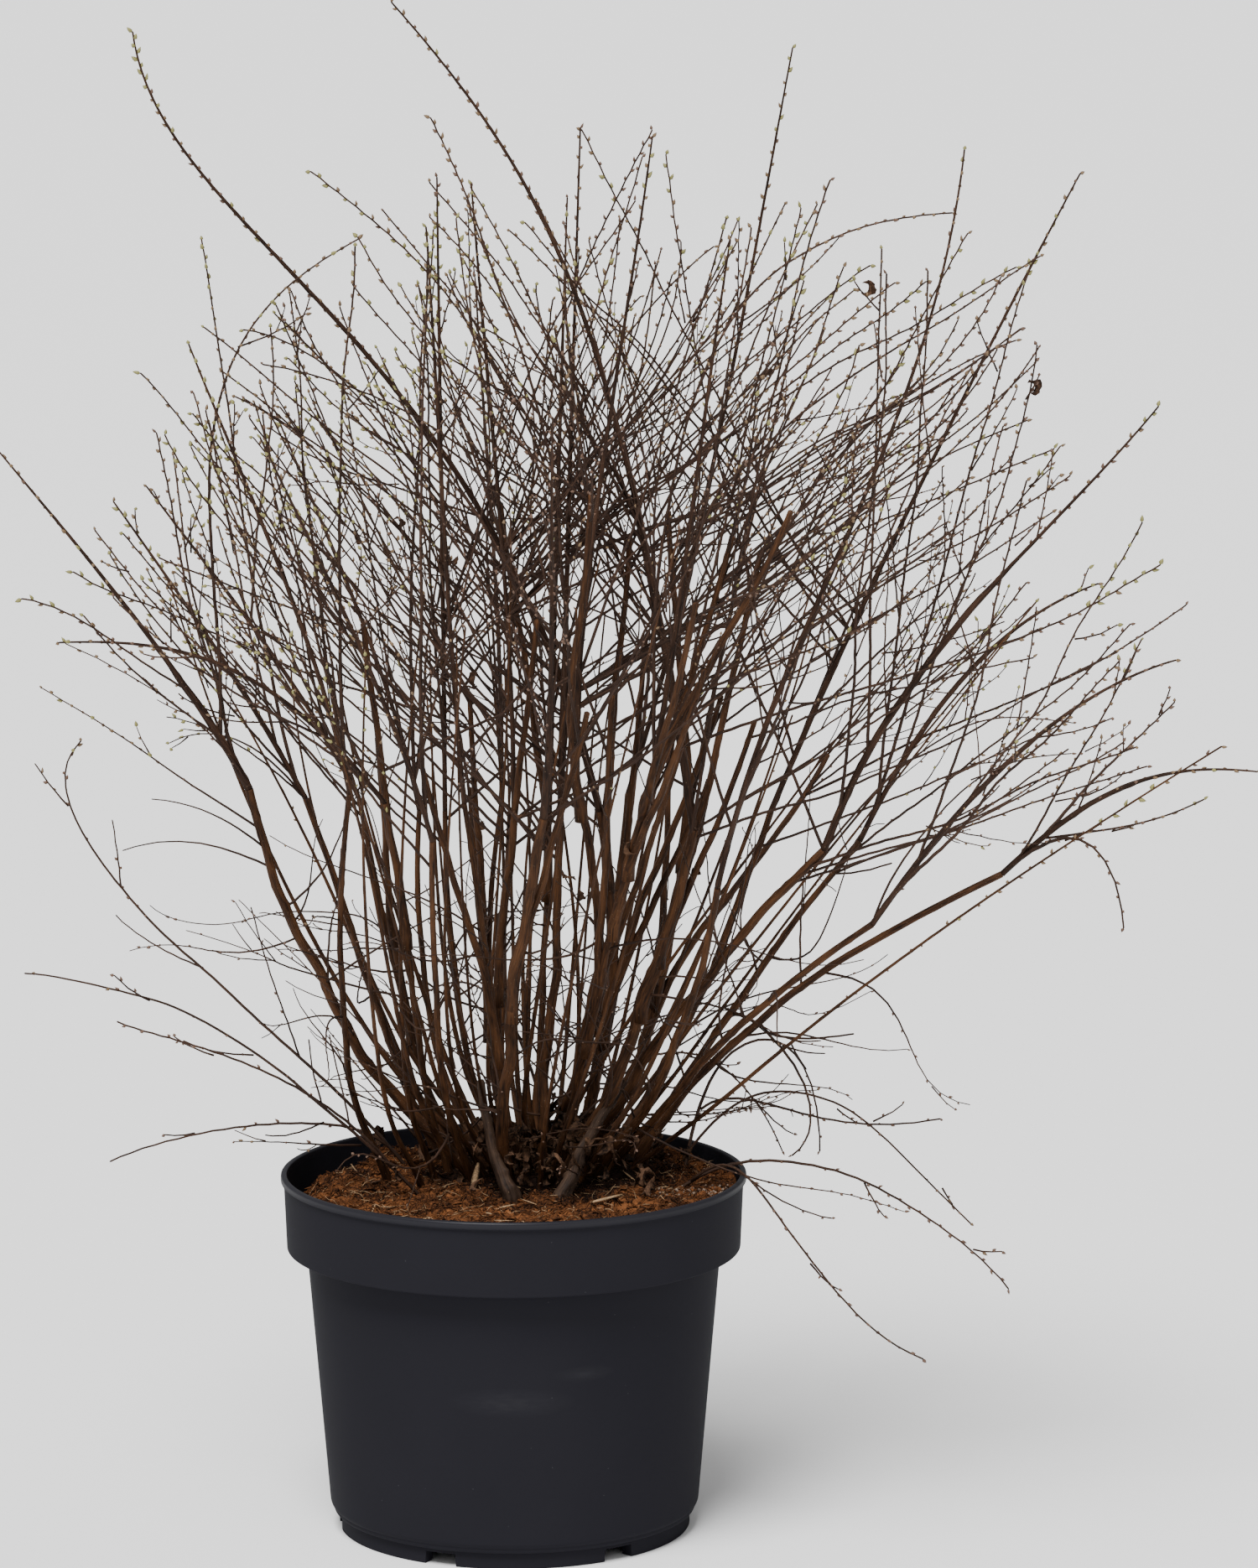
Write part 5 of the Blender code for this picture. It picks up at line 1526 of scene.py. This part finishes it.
@lru_cache(maxsize=1)
def speckle_group():
    """Mottling by place: two sizes of noise that mix a dark and a light colour, with painted shade that
    darkens it near the clump.
    """
    group = bpy.data.node_groups.new("speckle", "ShaderNodeTree")
    socket_in(group, "Dark", "NodeSocketColor", (0.02, 0.01, 0.006, 1))
    socket_in(group, "Light", "NodeSocketColor", (0.2, 0.1, 0.05, 1))
    socket_in(group, "Coarse", "NodeSocketFloat", 60.0)
    socket_in(group, "Fine", "NodeSocketFloat", 600.0)
    socket_in(group, "Shade", "NodeSocketFloat", 0.0)
    for name, kind in (("Color", "NodeSocketColor"), ("Height", "NodeSocketFloat")):
        group.interface.new_socket(name=name, in_out="OUTPUT", socket_type=kind)
    links = group.links
    given = node_of(group, "NodeGroupInput", (-900, 0))
    out = node_of(group, "NodeGroupOutput", (600, 0))
    place = node_of(group, "ShaderNodeTexCoord", (-900, 300))
    coarse = node_of(group, "ShaderNodeTexNoise", (-600, 250))
    coarse.inputs["Detail"].default_value = 3.0
    fine = node_of(group, "ShaderNodeTexNoise", (-600, -100))
    fine.inputs["Detail"].default_value = 5.0
    for texture, name in ((coarse, "Coarse"), (fine, "Fine")):
        links.new(place.outputs["Object"], texture.inputs["Vector"])
        links.new(given.outputs[name], texture.inputs["Scale"])
    total = node_of(group, "ShaderNodeMath", (-380, 100), operation="ADD")
    links.new(coarse.outputs["Fac"], total.inputs[0])
    links.new(fine.outputs["Fac"], total.inputs[1])
    spread = node_of(group, "ShaderNodeMapRange", (-180, 100))
    spread.inputs["From Min"].default_value = 0.80
    spread.inputs["From Max"].default_value = 1.22
    links.new(total.outputs["Value"], spread.inputs["Value"])
    # Painted shade: the colour darkens towards the clump's middle, where the stems shade the peat
    away = node_of(group, "ShaderNodeVectorMath", (-600, -400), operation="DISTANCE")
    away.inputs[1].default_value = CLUMP
    links.new(place.outputs["Object"], away.inputs[0])
    near = node_of(group, "ShaderNodeMapRange", (-380, -400))
    near.inputs["From Min"].default_value = 0.062
    near.inputs["From Max"].default_value = 0.128
    near.inputs["To Min"].default_value = 1.0
    near.inputs["To Max"].default_value = 0.0
    links.new(away.outputs["Value"], near.inputs["Value"])
    shaded = node_of(group, "ShaderNodeMath", (-180, -300), operation="MULTIPLY")
    links.new(near.outputs["Result"], shaded.inputs[0])
    links.new(given.outputs["Shade"], shaded.inputs[1])
    share = node_of(group, "ShaderNodeMath", (-20, 0), operation="SUBTRACT", use_clamp=True)
    links.new(spread.outputs["Result"], share.inputs[0])
    links.new(shaded.outputs["Value"], share.inputs[1])
    mixed = node_of(group, "ShaderNodeMixRGB", (160, 100))
    links.new(share.outputs["Value"], mixed.inputs["Fac"])
    links.new(given.outputs["Dark"], mixed.inputs["Color1"])
    links.new(given.outputs["Light"], mixed.inputs["Color2"])
    links.new(mixed.outputs["Color"], out.inputs["Color"])
    links.new(fine.outputs["Fac"], out.inputs["Height"])
    return group


def material_of(name, group, values, roughness, bump, distance):
    """A Principled material that takes its colour and relief from a group of nodes."""
    material = bpy.data.materials.new(name)
    material.use_nodes = True
    tree = material.node_tree
    shader = tree.nodes["Principled BSDF"]
    shader.inputs["Roughness"].default_value = roughness
    shader.inputs["Specular IOR Level"].default_value = 0.12
    pattern = node_of(tree, "ShaderNodeGroup", (-500, 100), node_tree=group)
    for socket, value in values.items():
        pattern.inputs[socket].default_value = value
    relief = node_of(tree, "ShaderNodeBump", (-240, -200))
    relief.inputs["Strength"].default_value = bump
    relief.inputs["Distance"].default_value = distance
    tree.links.new(pattern.outputs["Color"], shader.inputs["Base Color"])
    tree.links.new(pattern.outputs["Height"], relief.inputs["Height"])
    tree.links.new(relief.outputs["Normal"], shader.inputs["Normal"])
    if "Roughness" in pattern.outputs:
        tree.links.new(pattern.outputs["Roughness"], shader.inputs["Roughness"])
    return material


def bark_material(name, dark, warm, pore, bump):
    values = {"Dark": (*dark, 1), "Warm": (*warm, 1), "Pore": (*pore, 1), "Streaks": 1.0}
    return material_of(name, bark_group(), values, 0.7, bump, 0.0006)


def speckled_material(name, dark, light, coarse, fine, roughness=0.9, bump=0.5, shade=0.0):
    values = {"Dark": (*dark, 1), "Light": (*light, 1), "Coarse": coarse, "Fine": fine,
              "Shade": shade}
    return material_of(name, speckle_group(), values, roughness, bump, 0.0006)


def plain_material(name, color, roughness):
    material = bpy.data.materials.new(name)
    material.use_nodes = True
    shader = material.node_tree.nodes["Principled BSDF"]
    shader.inputs["Base Color"].default_value = (*color, 1.0)
    shader.inputs["Roughness"].default_value = roughness
    return material


def pot_material(settings):
    """Matte moulded plastic: faint clouding, a few scuffed patches, specks and a fine grain."""
    material = bpy.data.materials.new("pot_plastic")
    material.use_nodes = True
    tree = material.node_tree
    links = tree.links
    shader = tree.nodes["Principled BSDF"]
    shader.inputs["Specular IOR Level"].default_value = 0.03
    place = node_of(tree, "ShaderNodeTexCoord", (-1300, 0))
    cloud = node_of(tree, "ShaderNodeTexNoise", (-1000, 300))
    cloud.inputs["Scale"].default_value = 9.0
    cloud.inputs["Detail"].default_value = 4.0
    dust = node_of(tree, "ShaderNodeTexVoronoi", (-1000, -400))
    dust.inputs["Scale"].default_value = 62.0
    grain = node_of(tree, "ShaderNodeTexNoise", (-1000, -700))
    grain.inputs["Scale"].default_value = 900.0
    scuffs = node_of(tree, "ShaderNodeTexNoise", (-1000, -100))
    scuffs.inputs["Scale"].default_value = 90.0
    scuffs.inputs["Detail"].default_value = 6.0
    stretched = node_of(tree, "ShaderNodeVectorMath", (-1150, -900), operation="MULTIPLY")
    stretched.inputs[1].default_value = SCUFF_STRETCH
    links.new(place.outputs["Object"], stretched.inputs[0])
    for texture in (cloud, dust, grain):
        links.new(place.outputs["Object"], texture.inputs["Vector"])
    links.new(stretched.outputs["Vector"], scuffs.inputs["Vector"])
    dust_ramp = ramp(tree, (-760, -400), ((0.020, 0.4), (0.035, 0.0)))
    links.new(dust.outputs["Distance"], dust_ramp.inputs["Fac"])
    marks = dust_ramp.outputs["Color"]
    for number, (spot, reach) in enumerate(SCUFFS):
        away = node_of(tree, "ShaderNodeVectorMath", (-1000, -900 - 200 * number),
                       operation="DISTANCE")
        away.inputs[1].default_value = seen_at(spot, SCUFF_DEPTH) * SCUFF_STRETCH
        near = node_of(tree, "ShaderNodeMapRange", (-760, -900 - 200 * number))
        near.inputs["From Max"].default_value = reach
        near.inputs["To Min"].default_value = SCUFF_STRENGTH
        near.inputs["To Max"].default_value = 0.0
        patchy = node_of(tree, "ShaderNodeMath", (-600, -900 - 200 * number), operation="MULTIPLY")
        total = node_of(tree, "ShaderNodeMath", (-460, -200 - 160 * number), operation="ADD")
        links.new(stretched.outputs["Vector"], away.inputs[0])
        links.new(away.outputs["Value"], near.inputs["Value"])
        links.new(near.outputs["Result"], patchy.inputs[0])
        links.new(scuffs.outputs["Fac"], patchy.inputs[1])
        links.new(patchy.outputs["Value"], total.inputs[0])
        links.new(marks, total.inputs[1])
        marks = total.outputs["Value"]
    clouded = node_of(tree, "ShaderNodeMixRGB", (-460, 250))
    clouded.inputs["Color1"].default_value = (*settings.dark_color, 1)
    clouded.inputs["Color2"].default_value = (*settings.light_color, 1)
    links.new(cloud.outputs["Fac"], clouded.inputs["Fac"])
    marked = node_of(tree, "ShaderNodeMixRGB", (-220, 150))
    marked.inputs["Color2"].default_value = (*settings.scuff_color, 1)
    links.new(marks, marked.inputs["Fac"])
    links.new(clouded.outputs["Color"], marked.inputs["Color1"])
    links.new(marked.outputs["Color"], shader.inputs["Base Color"])
    rough = node_of(tree, "ShaderNodeMapRange", (-220, -100))
    rough.inputs["To Min"].default_value = settings.roughness - 0.06
    rough.inputs["To Max"].default_value = settings.roughness + 0.10
    links.new(cloud.outputs["Fac"], rough.inputs["Value"])
    links.new(rough.outputs["Result"], shader.inputs["Roughness"])
    shader.inputs["Coat Roughness"].default_value = 0.30
    parts = node_of(tree, "ShaderNodeSeparateXYZ", (-700, -1600))
    links.new(place.outputs["Object"], parts.inputs["Vector"])
    shiny = node_of(tree, "ShaderNodeMapRange", (-460, -1600))
    shiny.inputs["From Min"].default_value = POT_HEIGHT - 0.007
    shiny.inputs["From Max"].default_value = POT_HEIGHT - 0.003
    shiny.inputs["To Max"].default_value = 0.22
    links.new(parts.outputs["Z"], shiny.inputs["Value"])
    links.new(shiny.outputs["Result"], shader.inputs["Coat Weight"])
    bump = node_of(tree, "ShaderNodeBump", (-220, -400))
    bump.inputs["Strength"].default_value = 0.12
    bump.inputs["Distance"].default_value = 0.0002
    links.new(grain.outputs["Fac"], bump.inputs["Height"])
    links.new(bump.outputs["Normal"], shader.inputs["Normal"])
    return material


# Settings

def metres(name, description, default):
    return bpy.props.FloatProperty(name=name, description=description, default=default,
                                   unit="LENGTH", subtype="DISTANCE", precision=5)


def colour(name, description, default):
    return bpy.props.FloatVectorProperty(name=name, description=description, default=default,
                                         size=3, min=0.0, max=1.0, subtype="COLOR")


def share_of(name, description, default):
    return bpy.props.FloatProperty(name=name, description=description, default=default,
                                   subtype="FACTOR")


class PotSettings(bpy.types.PropertyGroup):
    lip_radius: metres("Lip radius", "Outer radius of the pot's lip", LIP_RADIUS)
    height: metres("Height", "Height of the pot", POT_HEIGHT)
    wall: metres("Wall", "Thickness of the pot's wall", 0.0028)
    collar_height: metres("Collar height", "Height of the band below the lip", 0.065)
    ring_radius: metres("Foot ring radius", "Outer radius of the foot ring", 0.1515)
    ring_width: metres("Foot ring width", "Width of the foot ring", 0.0115)
    floor_height: metres("Floor height", "Height of the floor's underside", 0.0115)
    notch_width: metres("Notch width", "Width of each notch in the foot ring", 0.027)
    notch_height: metres("Notch height", "Height of each notch in the foot ring", 0.0110)
    roughness: share_of("Roughness", "Roughness of the plastic", 0.70)
    dark_color: colour("Dark", "Darker colour of the plastic", (0.0118, 0.0116, 0.0150))
    light_color: colour("Light", "Lighter colour of the plastic", (0.0160, 0.0154, 0.0194))
    scuff_color: colour("Scuffs", "Colour of scuffs and dust", (0.080, 0.080, 0.083))


class PeatSettings(bpy.types.PropertyGroup):
    radius: metres("Radius", "Radius of the peat's top", PEAT_HIGH.x - 0.0007)
    underside: metres("Underside", "Height where the finished top ends", 0.2500)
    around: bpy.props.IntProperty(name="Around", description="Points round the peat", default=420)
    rings: bpy.props.IntProperty(name="Rings", description="Rings across the peat", default=112)
    fibres: bpy.props.IntProperty(name="Fibres", description="Fibres on the peat", default=5400)
    chips: bpy.props.IntProperty(name="Chips", description="Bark chips on the peat", default=420)
    crumbs: bpy.props.IntProperty(name="Crumbs", description="Crumbs on the peat", default=2000)
    dark_color: colour("Dark", "Colour of the peat's hollows", (0.0080, 0.0030, 0.0014))
    light_color: colour("Light", "Colour of the peat's fibres", (0.170, 0.062, 0.0205))
    straw_color: colour("Straw", "Colour of straw and wood slivers", (0.42, 0.270, 0.150))


class BarkSettings(bpy.types.PropertyGroup):
    section_step: metres("Section step", "Distance between the sections of a cane", 0.0030)
    sway: metres("Sway", "How far a cane sways from its line", 0.0026)
    sway_radius: metres("Sway radius", "Radius below which a cane doesn't sway", 0.0022)
    ridge: share_of("Ridges", "Depth of the ridges as a share of the radius", 0.085)
    knot: share_of("Knots", "Height of the knots as a share of the radius", 0.20)
    knot_spacing: metres("Knot spacing", "Distance between knots", 0.021)
    dark_color: colour("Dark", "Colour of the bark's cracks", (0.0066, 0.0030, 0.0018))
    warm_color: colour("Warm", "Colour of the bark's ridges", (0.098, 0.041, 0.0160))
    young_color: colour("Young", "Colour of the younger stems' ridges", (0.060, 0.029, 0.0165))
    pore_color: colour("Pores", "Colour of the bark's pores", (0.130, 0.086, 0.054))
    old_dark_color: colour("Old dark", "Colour of the old canes' cracks", (0.0085, 0.0046, 0.0031))
    old_light_color: colour("Old light", "Colour of the old canes' ridges", (0.074, 0.043, 0.027))


class TwigSettings(bpy.types.PropertyGroup):
    bud_spacing: metres("Bud spacing", "Distance between buds along a twig", 0.0092)
    bud_length: metres("Bud length", "Length of a bud", 0.0050)
    bud_width: metres("Bud width", "Width of a bud", 0.0028)
    kink: metres("Kink", "How far a twig's nodes lie off its line", 0.00034)
    dark_color: colour("Dark", "Dark colour of the twigs", (0.0130, 0.0072, 0.0052))
    warm_color: colour("Warm", "Warm colour of the twigs", (0.062, 0.0320, 0.0200))
    bud_color: colour("Brown buds", "Colour of closed buds", (0.108, 0.057, 0.034))
    tan_color: colour("Tan buds", "Colour of swelling buds", (0.150, 0.092, 0.044))
    green_color: colour("Green buds", "Colour of greening buds", (0.225, 0.205, 0.066))


class LeafSettings(bpy.types.PropertyGroup):
    leaf_length: metres("Leaf length", "Length of a dead leaf", 0.023)
    leaf_width: share_of("Leaf width", "Half the width of a leaf as a share of its length", 0.20)
    leaf_thickness: metres("Leaf thickness", "Thickness of a dead leaf", 0.0004)
    crumple: metres("Crumple", "How far the creases of a dead leaf stand off it", 0.0014)
    on_peat: bpy.props.IntProperty(name="On the peat", description="Leaves at the foot", default=150)
    dark_color: colour("Dark", "Dark colour of dead leaves", (0.0070, 0.0034, 0.0020))
    light_color: colour("Light", "Light colour of dead leaves", (0.085, 0.044, 0.0240))


class StageSettings(bpy.types.PropertyGroup):
    floor_color: colour("Floor", "Colour of the floor", (0.92, 0.92, 0.92))
    floor_size: metres("Floor size", "Width of the floor", 240.0)
    distance: metres("Camera distance", "How far the camera stands in front",
                     CAMERA_DISTANCE)
    camera_x: metres("Camera x", "How far the camera stands to the right", CAMERA_X)
    camera_height: metres("Camera height", "Height of the camera", CAMERA_HEIGHT)
    camera_drop: bpy.props.FloatProperty(name="Camera drop", default=CAMERA_DROP,
                                         description="How far the camera looks down",
                                         subtype="ANGLE")
    lens: bpy.props.FloatProperty(name="Lens", description="Focal length in millimetres",
                                  default=LENS, unit="CAMERA")
    world_light: share_of("World light", "Strength of the light from all round", 0.45)
    sun_light: bpy.props.FloatProperty(name="Main light", default=5.4,
                                       description="Strength of the soft main light")


# Operators

class SPIREA_OT_pot(bpy.types.Operator):
    """Builds the nursery pot in place of its solid"""

    bl_idname = "spirea.pot"
    bl_label = "Pot"

    def execute(self, context):
        settings = context.scene.spirea_pot
        made = piece("pot_shell", pot_shape(settings), pot_material(settings), ["pot"])
        made.data.set_sharp_from_angle(angle=math.radians(42.0))
        return {"FINISHED"}


class SPIREA_OT_peat(bpy.types.Operator):
    """Builds the peat with its fibres, chips and crumbs in place of its solid"""

    bl_idname = "spirea.peat"
    bl_label = "Peat"

    def execute(self, context):
        settings = context.scene.spirea_peat
        dark, light, straw = settings.dark_color, settings.light_color, settings.straw_color
        middle = [(a + b) / 2 for a, b in zip(dark, light)]
        # The peat, its fibres and the straw take painted shade towards the clump's middle, as their shade
        # values say
        bed = speckled_material("peat_bed", dark, light, 26.0, 380.0, bump=1.0, shade=0.85)
        brown = speckled_material("fibre_brown", dark, middle, 40.0, 500.0, shade=0.8)
        red = speckled_material("fibre_red", dark, light, 40.0, 500.0, shade=0.9)
        pale = speckled_material("straw", [c * 0.35 for c in straw], straw, 60.0, 700.0, shade=0.9)
        piece("peat_bed", peat_shape(settings), bed, ["peat"])
        third = settings.fibres // 3
        piece("peat_fibres_brown", fibre_shape(third, (0.006, 0.020), 0.0008, 1, settings), brown)
        piece("peat_fibres_red", fibre_shape(third, (0.005, 0.017), 0.0008, 2, settings), red)
        piece("peat_straw", joined([
            fibre_shape(third // 5, (0.006, 0.020), 0.0007, 3, settings),
            chip_shape(90, (0.006, 0.020), (0.0010, 0.0028), 4, settings),
            sliver_shape(SLIVERS)]), pale)
        crumbs = speckled_material("pale_crumb", [c * 0.4 for c in PALE_COLOR], PALE_COLOR, 90.0, 900.0)
        piece("peat_pale_crumbs", crumb_shape(PALE_CRUMBS, (0.0012, 0.0034), 9, settings,
                                              seen_on_peat(PALE_SPOT)), crumbs)
        half = settings.chips // 2
        piece("peat_chips_brown", joined([
            chip_shape(half, (0.004, 0.016), (0.0020, 0.0060), 5, settings),
            sliver_shape([BARK_CHIP]),
            crumb_shape(settings.crumbs // 2, (0.0014, 0.0042), 6, settings)]), brown)
        piece("peat_chips_red", joined([
            chip_shape(half, (0.004, 0.014), (0.0016, 0.0050), 7, settings),
            crumb_shape(settings.crumbs // 2, (0.0014, 0.0036), 8, settings)]), red)
        return {"FINISHED"}


class SPIREA_OT_canes(bpy.types.Operator):
    """Builds the canes with their bark, and the stems that go on from them"""

    bl_idname = "spirea.canes"
    bl_label = "Canes"

    def execute(self, context):
        settings = context.scene.spirea_bark
        made = plant()
        bark = bark_material("bark", settings.dark_color, settings.warm_color, settings.pore_color,
                             0.7)
        old = bark_material("old_bark", settings.old_dark_color, settings.old_light_color,
                            settings.pore_color, 0.9)
        for side in ("left", "middle", "right"):
            names = [name for name in made.canes if name.startswith(side)]
            thick = bark_shape([made.canes[name] for name in names], 22, settings, sunk=0.012)
            piece("canes_" + side, thick, bark, ["cane_" + name for name in names])
        stumps = [Limb(tuple(seen_at(*place) for place in row[:4]), *row[4:]) for row in STUMPS]
        piece("old_stumps", bark_shape(stumps, 22, settings, sunk=0.010, gnarled=STUMP_GNARLS), old)
        young = [limb for _, limb in made.suckers]
        piece("young_canes", bark_shape(young, 10, settings, sunk=0.010), bark)
        fresh = bark_material("stem_bark", settings.dark_color, settings.young_color,
                              settings.pore_color, 0.6)
        piece("cane_stems", bark_shape(list(made.stems.values()), 10, settings), fresh)
        return {"FINISHED"}


class SPIREA_OT_twigs(bpy.types.Operator):
    """Builds the shoots, side twigs, sprigs and buds in place of the masses"""

    bl_idname = "spirea.twigs"
    bl_label = "Twigs and buds"

    def execute(self, context):
        settings = context.scene.spirea_twigs
        made = plant()
        skin = bark_material("twig_bark", settings.dark_color, settings.warm_color,
                             settings.tan_color, 0.35)
        masses = [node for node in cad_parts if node.startswith("twigs_")]
        stems = list(made.stems.items()) + made.suckers
        nodes = [twig_shapes(stems, settings.bud_spacing, 3, 0.0, 0, swaying=False)[1]]
        layers = (("shoots", made.shoots, 6), ("side_twigs", made.twigs, 5),
                  ("sprigs", made.sprigs, 4))
        for number, (layer, limbs, sides) in enumerate(layers):
            for side in ("left", "middle", "right"):
                own = [(name, limb) for name, limb in limbs if side_of(name) == side]
                shape, found = twig_shapes(own, settings.bud_spacing, sides, settings.kink, number)
                replaced = [node for node in masses if side_of(node) == side]
                piece(layer + "_" + side, shape, skin,
                      replaced if layer == "shoots" else ())
                nodes.append(found)
        self.buds([np.concatenate(column) for column in zip(*nodes)], settings)
        return {"FINISHED"}

    def buds(self, nodes, settings):
        """Deals the buds out by spray: brown low down, and tan and green in patches above."""
        places, along, lean, radii, shares = nodes
        chance = np.random.default_rng((SEED, 100))
        outer = np.linalg.norm((places - CROWN_MIDDLE) / CROWN_REACH, axis=1)
        bearing = np.clip(outer * 2.2 - 1.05, 0.10, 1.0) * np.clip(shares * 2.5, 0.30, 1.0)
        bearing = bearing * np.where((places[:, 2] < BARE_BELOW) & (places[:, 0] < 0.0), 0.3, 1.0)
        kept = (chance.random(len(places)) < bearing) & (radii < 0.0024)
        places, along, lean, radii, shares, outer = (
            c[kept] for c in (places, along, lean, radii, shares, outer))
        spray = noise(places * 12.0, 9) + chance.normal(0.0, 0.16, len(places))
        ripe = spray + 0.5 * (outer - 0.8) + 0.25 * (shares > 0.9) - 0.8 * (places[:, 2] < 0.55)
        ripe = ripe + 0.30 * (places[:, 0] < -0.06)
        green = ripe > 0.68
        tan = ~green & (ripe + chance.normal(0.0, 0.25, len(places)) > 0.20)
        brown = ~green & ~tan
        colors = {"brown": (brown, settings.bud_color, 0.92), "tan": (tan, settings.tan_color, 1.0),
                  "green": (green, settings.green_color, 1.15)}
        for number, (name, (which, color, scale)) in enumerate(colors.items()):
            material = plain_material("bud_" + name, color, 0.6)
            numbers = np.flatnonzero(which)
            parts = math.ceil(len(numbers) * 16 / 190000)
            for part in range(parts):
                own = numbers[part::parts]
                size = scale * np.clip(0.10 + 1.00 * outer[own], 0.55, 1.05)
                shape = bud_shape(places[own], along[own], lean[own], radii[own], settings,
                                  number * 10 + part, size)
                piece(f"buds_{name}_{part + 1}", shape, material)


class SPIREA_OT_leaves(bpy.types.Operator):
    """Builds the dead leaves that hang in the crown and lie at the foot"""

    bl_idname = "spirea.leaves"
    bl_label = "Dead leaves"

    def execute(self, context):
        settings = context.scene.spirea_leaves
        chance = np.random.default_rng((SEED, 101))
        made = plant()
        limbs = [limb for _, limb in made.twigs + made.shoots + made.suckers]
        middles = np.concatenate([bezier(limb.corners, (0.3, 0.5, 0.7)) for limb in limbs])
        hung = []
        for pixel in LEAF_PLACES:
            x, _, z = seen_at(pixel, 0.0)
            far = np.hypot(middles[:, 0] - x, middles[:, 2] - z) + np.abs(middles[:, 1]) * 0.1
            hung.append(middles[np.argmin(far)])
        ways = unit(chance.normal(0.0, 0.5, (len(hung), 3)) - UP * 0.7)
        lengths = settings.leaf_length * chance.uniform(0.35, 0.75, len(hung))
        crown = leaf_shape(np.array(hung), ways, lengths, settings, 1)
        count = settings.on_peat
        x = chance.normal(0.020, 0.055, count)
        y = chance.normal(0.005, 0.048, count)
        inside = np.minimum(1.0, 0.15 / np.hypot(x, y))
        x, y = x * inside, y * inside
        base = peat_height(x, y, feet_of_stems()) + chance.uniform(0.002, 0.046, count)
        ways = unit(chance.normal(0.0, 1.0, (count, 3)) * (1.0, 1.0, 0.5))
        lengths = settings.leaf_length * chance.uniform(0.45, 1.05, count)
        foot = leaf_shape(np.stack((x, y, base), axis=-1), ways, lengths, settings, 2)
        low, high = settings.dark_color, settings.light_color
        for name, shape, dark in (("hanging_leaves", crown, [c * 3.0 for c in low]),
                                  ("leaf_litter", foot, low)):
            skin = speckled_material(name, dark, high, 46.0, 420.0, roughness=0.8)
            piece(name, shape, skin)
        return {"FINISHED"}


def area_light(name, place, size, power, target):
    lamp = bpy.data.lights.new(name, "AREA")
    lamp.shape = "RECTANGLE"
    lamp.size, lamp.size_y = size
    lamp.energy = power
    made = bpy.data.objects.new(name, lamp)
    made.location = place
    aim = np.array(target) - np.array(place)
    yaw = math.atan2(aim[0], -aim[1])
    made.rotation_euler = (math.acos(-aim[2] / np.linalg.norm(aim)), 0.0, yaw + math.pi)
    bpy.context.scene.collection.objects.link(made)


class SPIREA_OT_stage(bpy.types.Operator):
    """Lays the pale floor, and sets up the studio light and the camera"""

    bl_idname = "spirea.stage"
    bl_label = "Floor, light and camera"

    def execute(self, context):
        settings = context.scene.spirea_stage
        half = settings.floor_size / 2
        corners = [(-half, -half, 0), (half, -half, 0), (half, half, 0), (-half, half, 0)]
        mesh = bpy.data.meshes.new("floor")
        mesh.from_pydata(corners, [], [(0, 1, 2, 3)])
        mesh.materials.append(plain_material("floor", settings.floor_color, 0.9))
        floor = bpy.data.objects.new("floor", mesh)
        context.scene.collection.objects.link(floor)
        world = bpy.data.worlds.new("studio")
        world.use_nodes = True
        background = world.node_tree.nodes["Background"]
        background.inputs["Color"].default_value = (1.0, 1.0, 1.0, 1.0)
        background.inputs["Strength"].default_value = settings.world_light
        context.scene.world = world
        middle = (0.09, 0.0, 0.6)
        lamp = bpy.data.lights.new("main", "SUN")
        lamp.energy = settings.sun_light
        lamp.angle = math.radians(28.0)
        made = bpy.data.objects.new("main", lamp)
        made.rotation_euler = (math.radians(26.0), math.radians(-11.0), 0.0)
        context.scene.collection.objects.link(made)
        area_light("fill", (2.4, -3.0, 1.9), (1.8, 2.0), 9.0, middle)
        area_light("front", (-0.7, -3.8, 1.8), (1.6, 2.0), 14.0, middle)
        eye = bpy.data.cameras.new("camera")
        eye.lens = settings.lens
        eye.sensor_width = SENSOR
        eye.clip_end = 400.0
        camera = bpy.data.objects.new("camera", eye)
        camera.location = (settings.camera_x, -settings.distance, settings.camera_height)
        camera.rotation_euler = (math.radians(90.0) - settings.camera_drop, 0.0, 0.0)
        context.scene.collection.objects.link(camera)
        context.scene.camera = camera
        return {"FINISHED"}


OPERATORS = (SPIREA_OT_pot, SPIREA_OT_peat, SPIREA_OT_canes, SPIREA_OT_twigs, SPIREA_OT_leaves,
             SPIREA_OT_stage)
SETTINGS = {"spirea_pot": PotSettings, "spirea_peat": PeatSettings, "spirea_bark": BarkSettings,
            "spirea_twigs": TwigSettings, "spirea_leaves": LeafSettings,
            "spirea_stage": StageSettings}


class SPIREA_PT_panel(bpy.types.Panel):
    """Lists the pieces of the potted spirea"""

    bl_idname = "SPIREA_PT_panel"
    bl_label = "Potted spirea"
    bl_space_type = "VIEW_3D"
    bl_region_type = "UI"
    bl_category = "Spirea"

    def draw(self, context):
        for operator in OPERATORS:
            self.layout.operator(operator.bl_idname)


def register():
    for made in (*SETTINGS.values(), *OPERATORS, SPIREA_PT_panel):
        bpy.utils.register_class(made)
    for name, group in SETTINGS.items():
        setattr(bpy.types.Scene, name, bpy.props.PointerProperty(type=group))


def unregister():
    for name in SETTINGS:
        delattr(bpy.types.Scene, name)
    for made in reversed((*SETTINGS.values(), *OPERATORS, SPIREA_PT_panel)):
        bpy.utils.unregister_class(made)


def main():
    register()
    bpy.ops.spirea.pot()
    bpy.ops.spirea.peat()
    bpy.ops.spirea.canes()
    bpy.ops.spirea.twigs()
    bpy.ops.spirea.leaves()
    bpy.ops.spirea.stage()


if __name__ == "__main__":
    main()
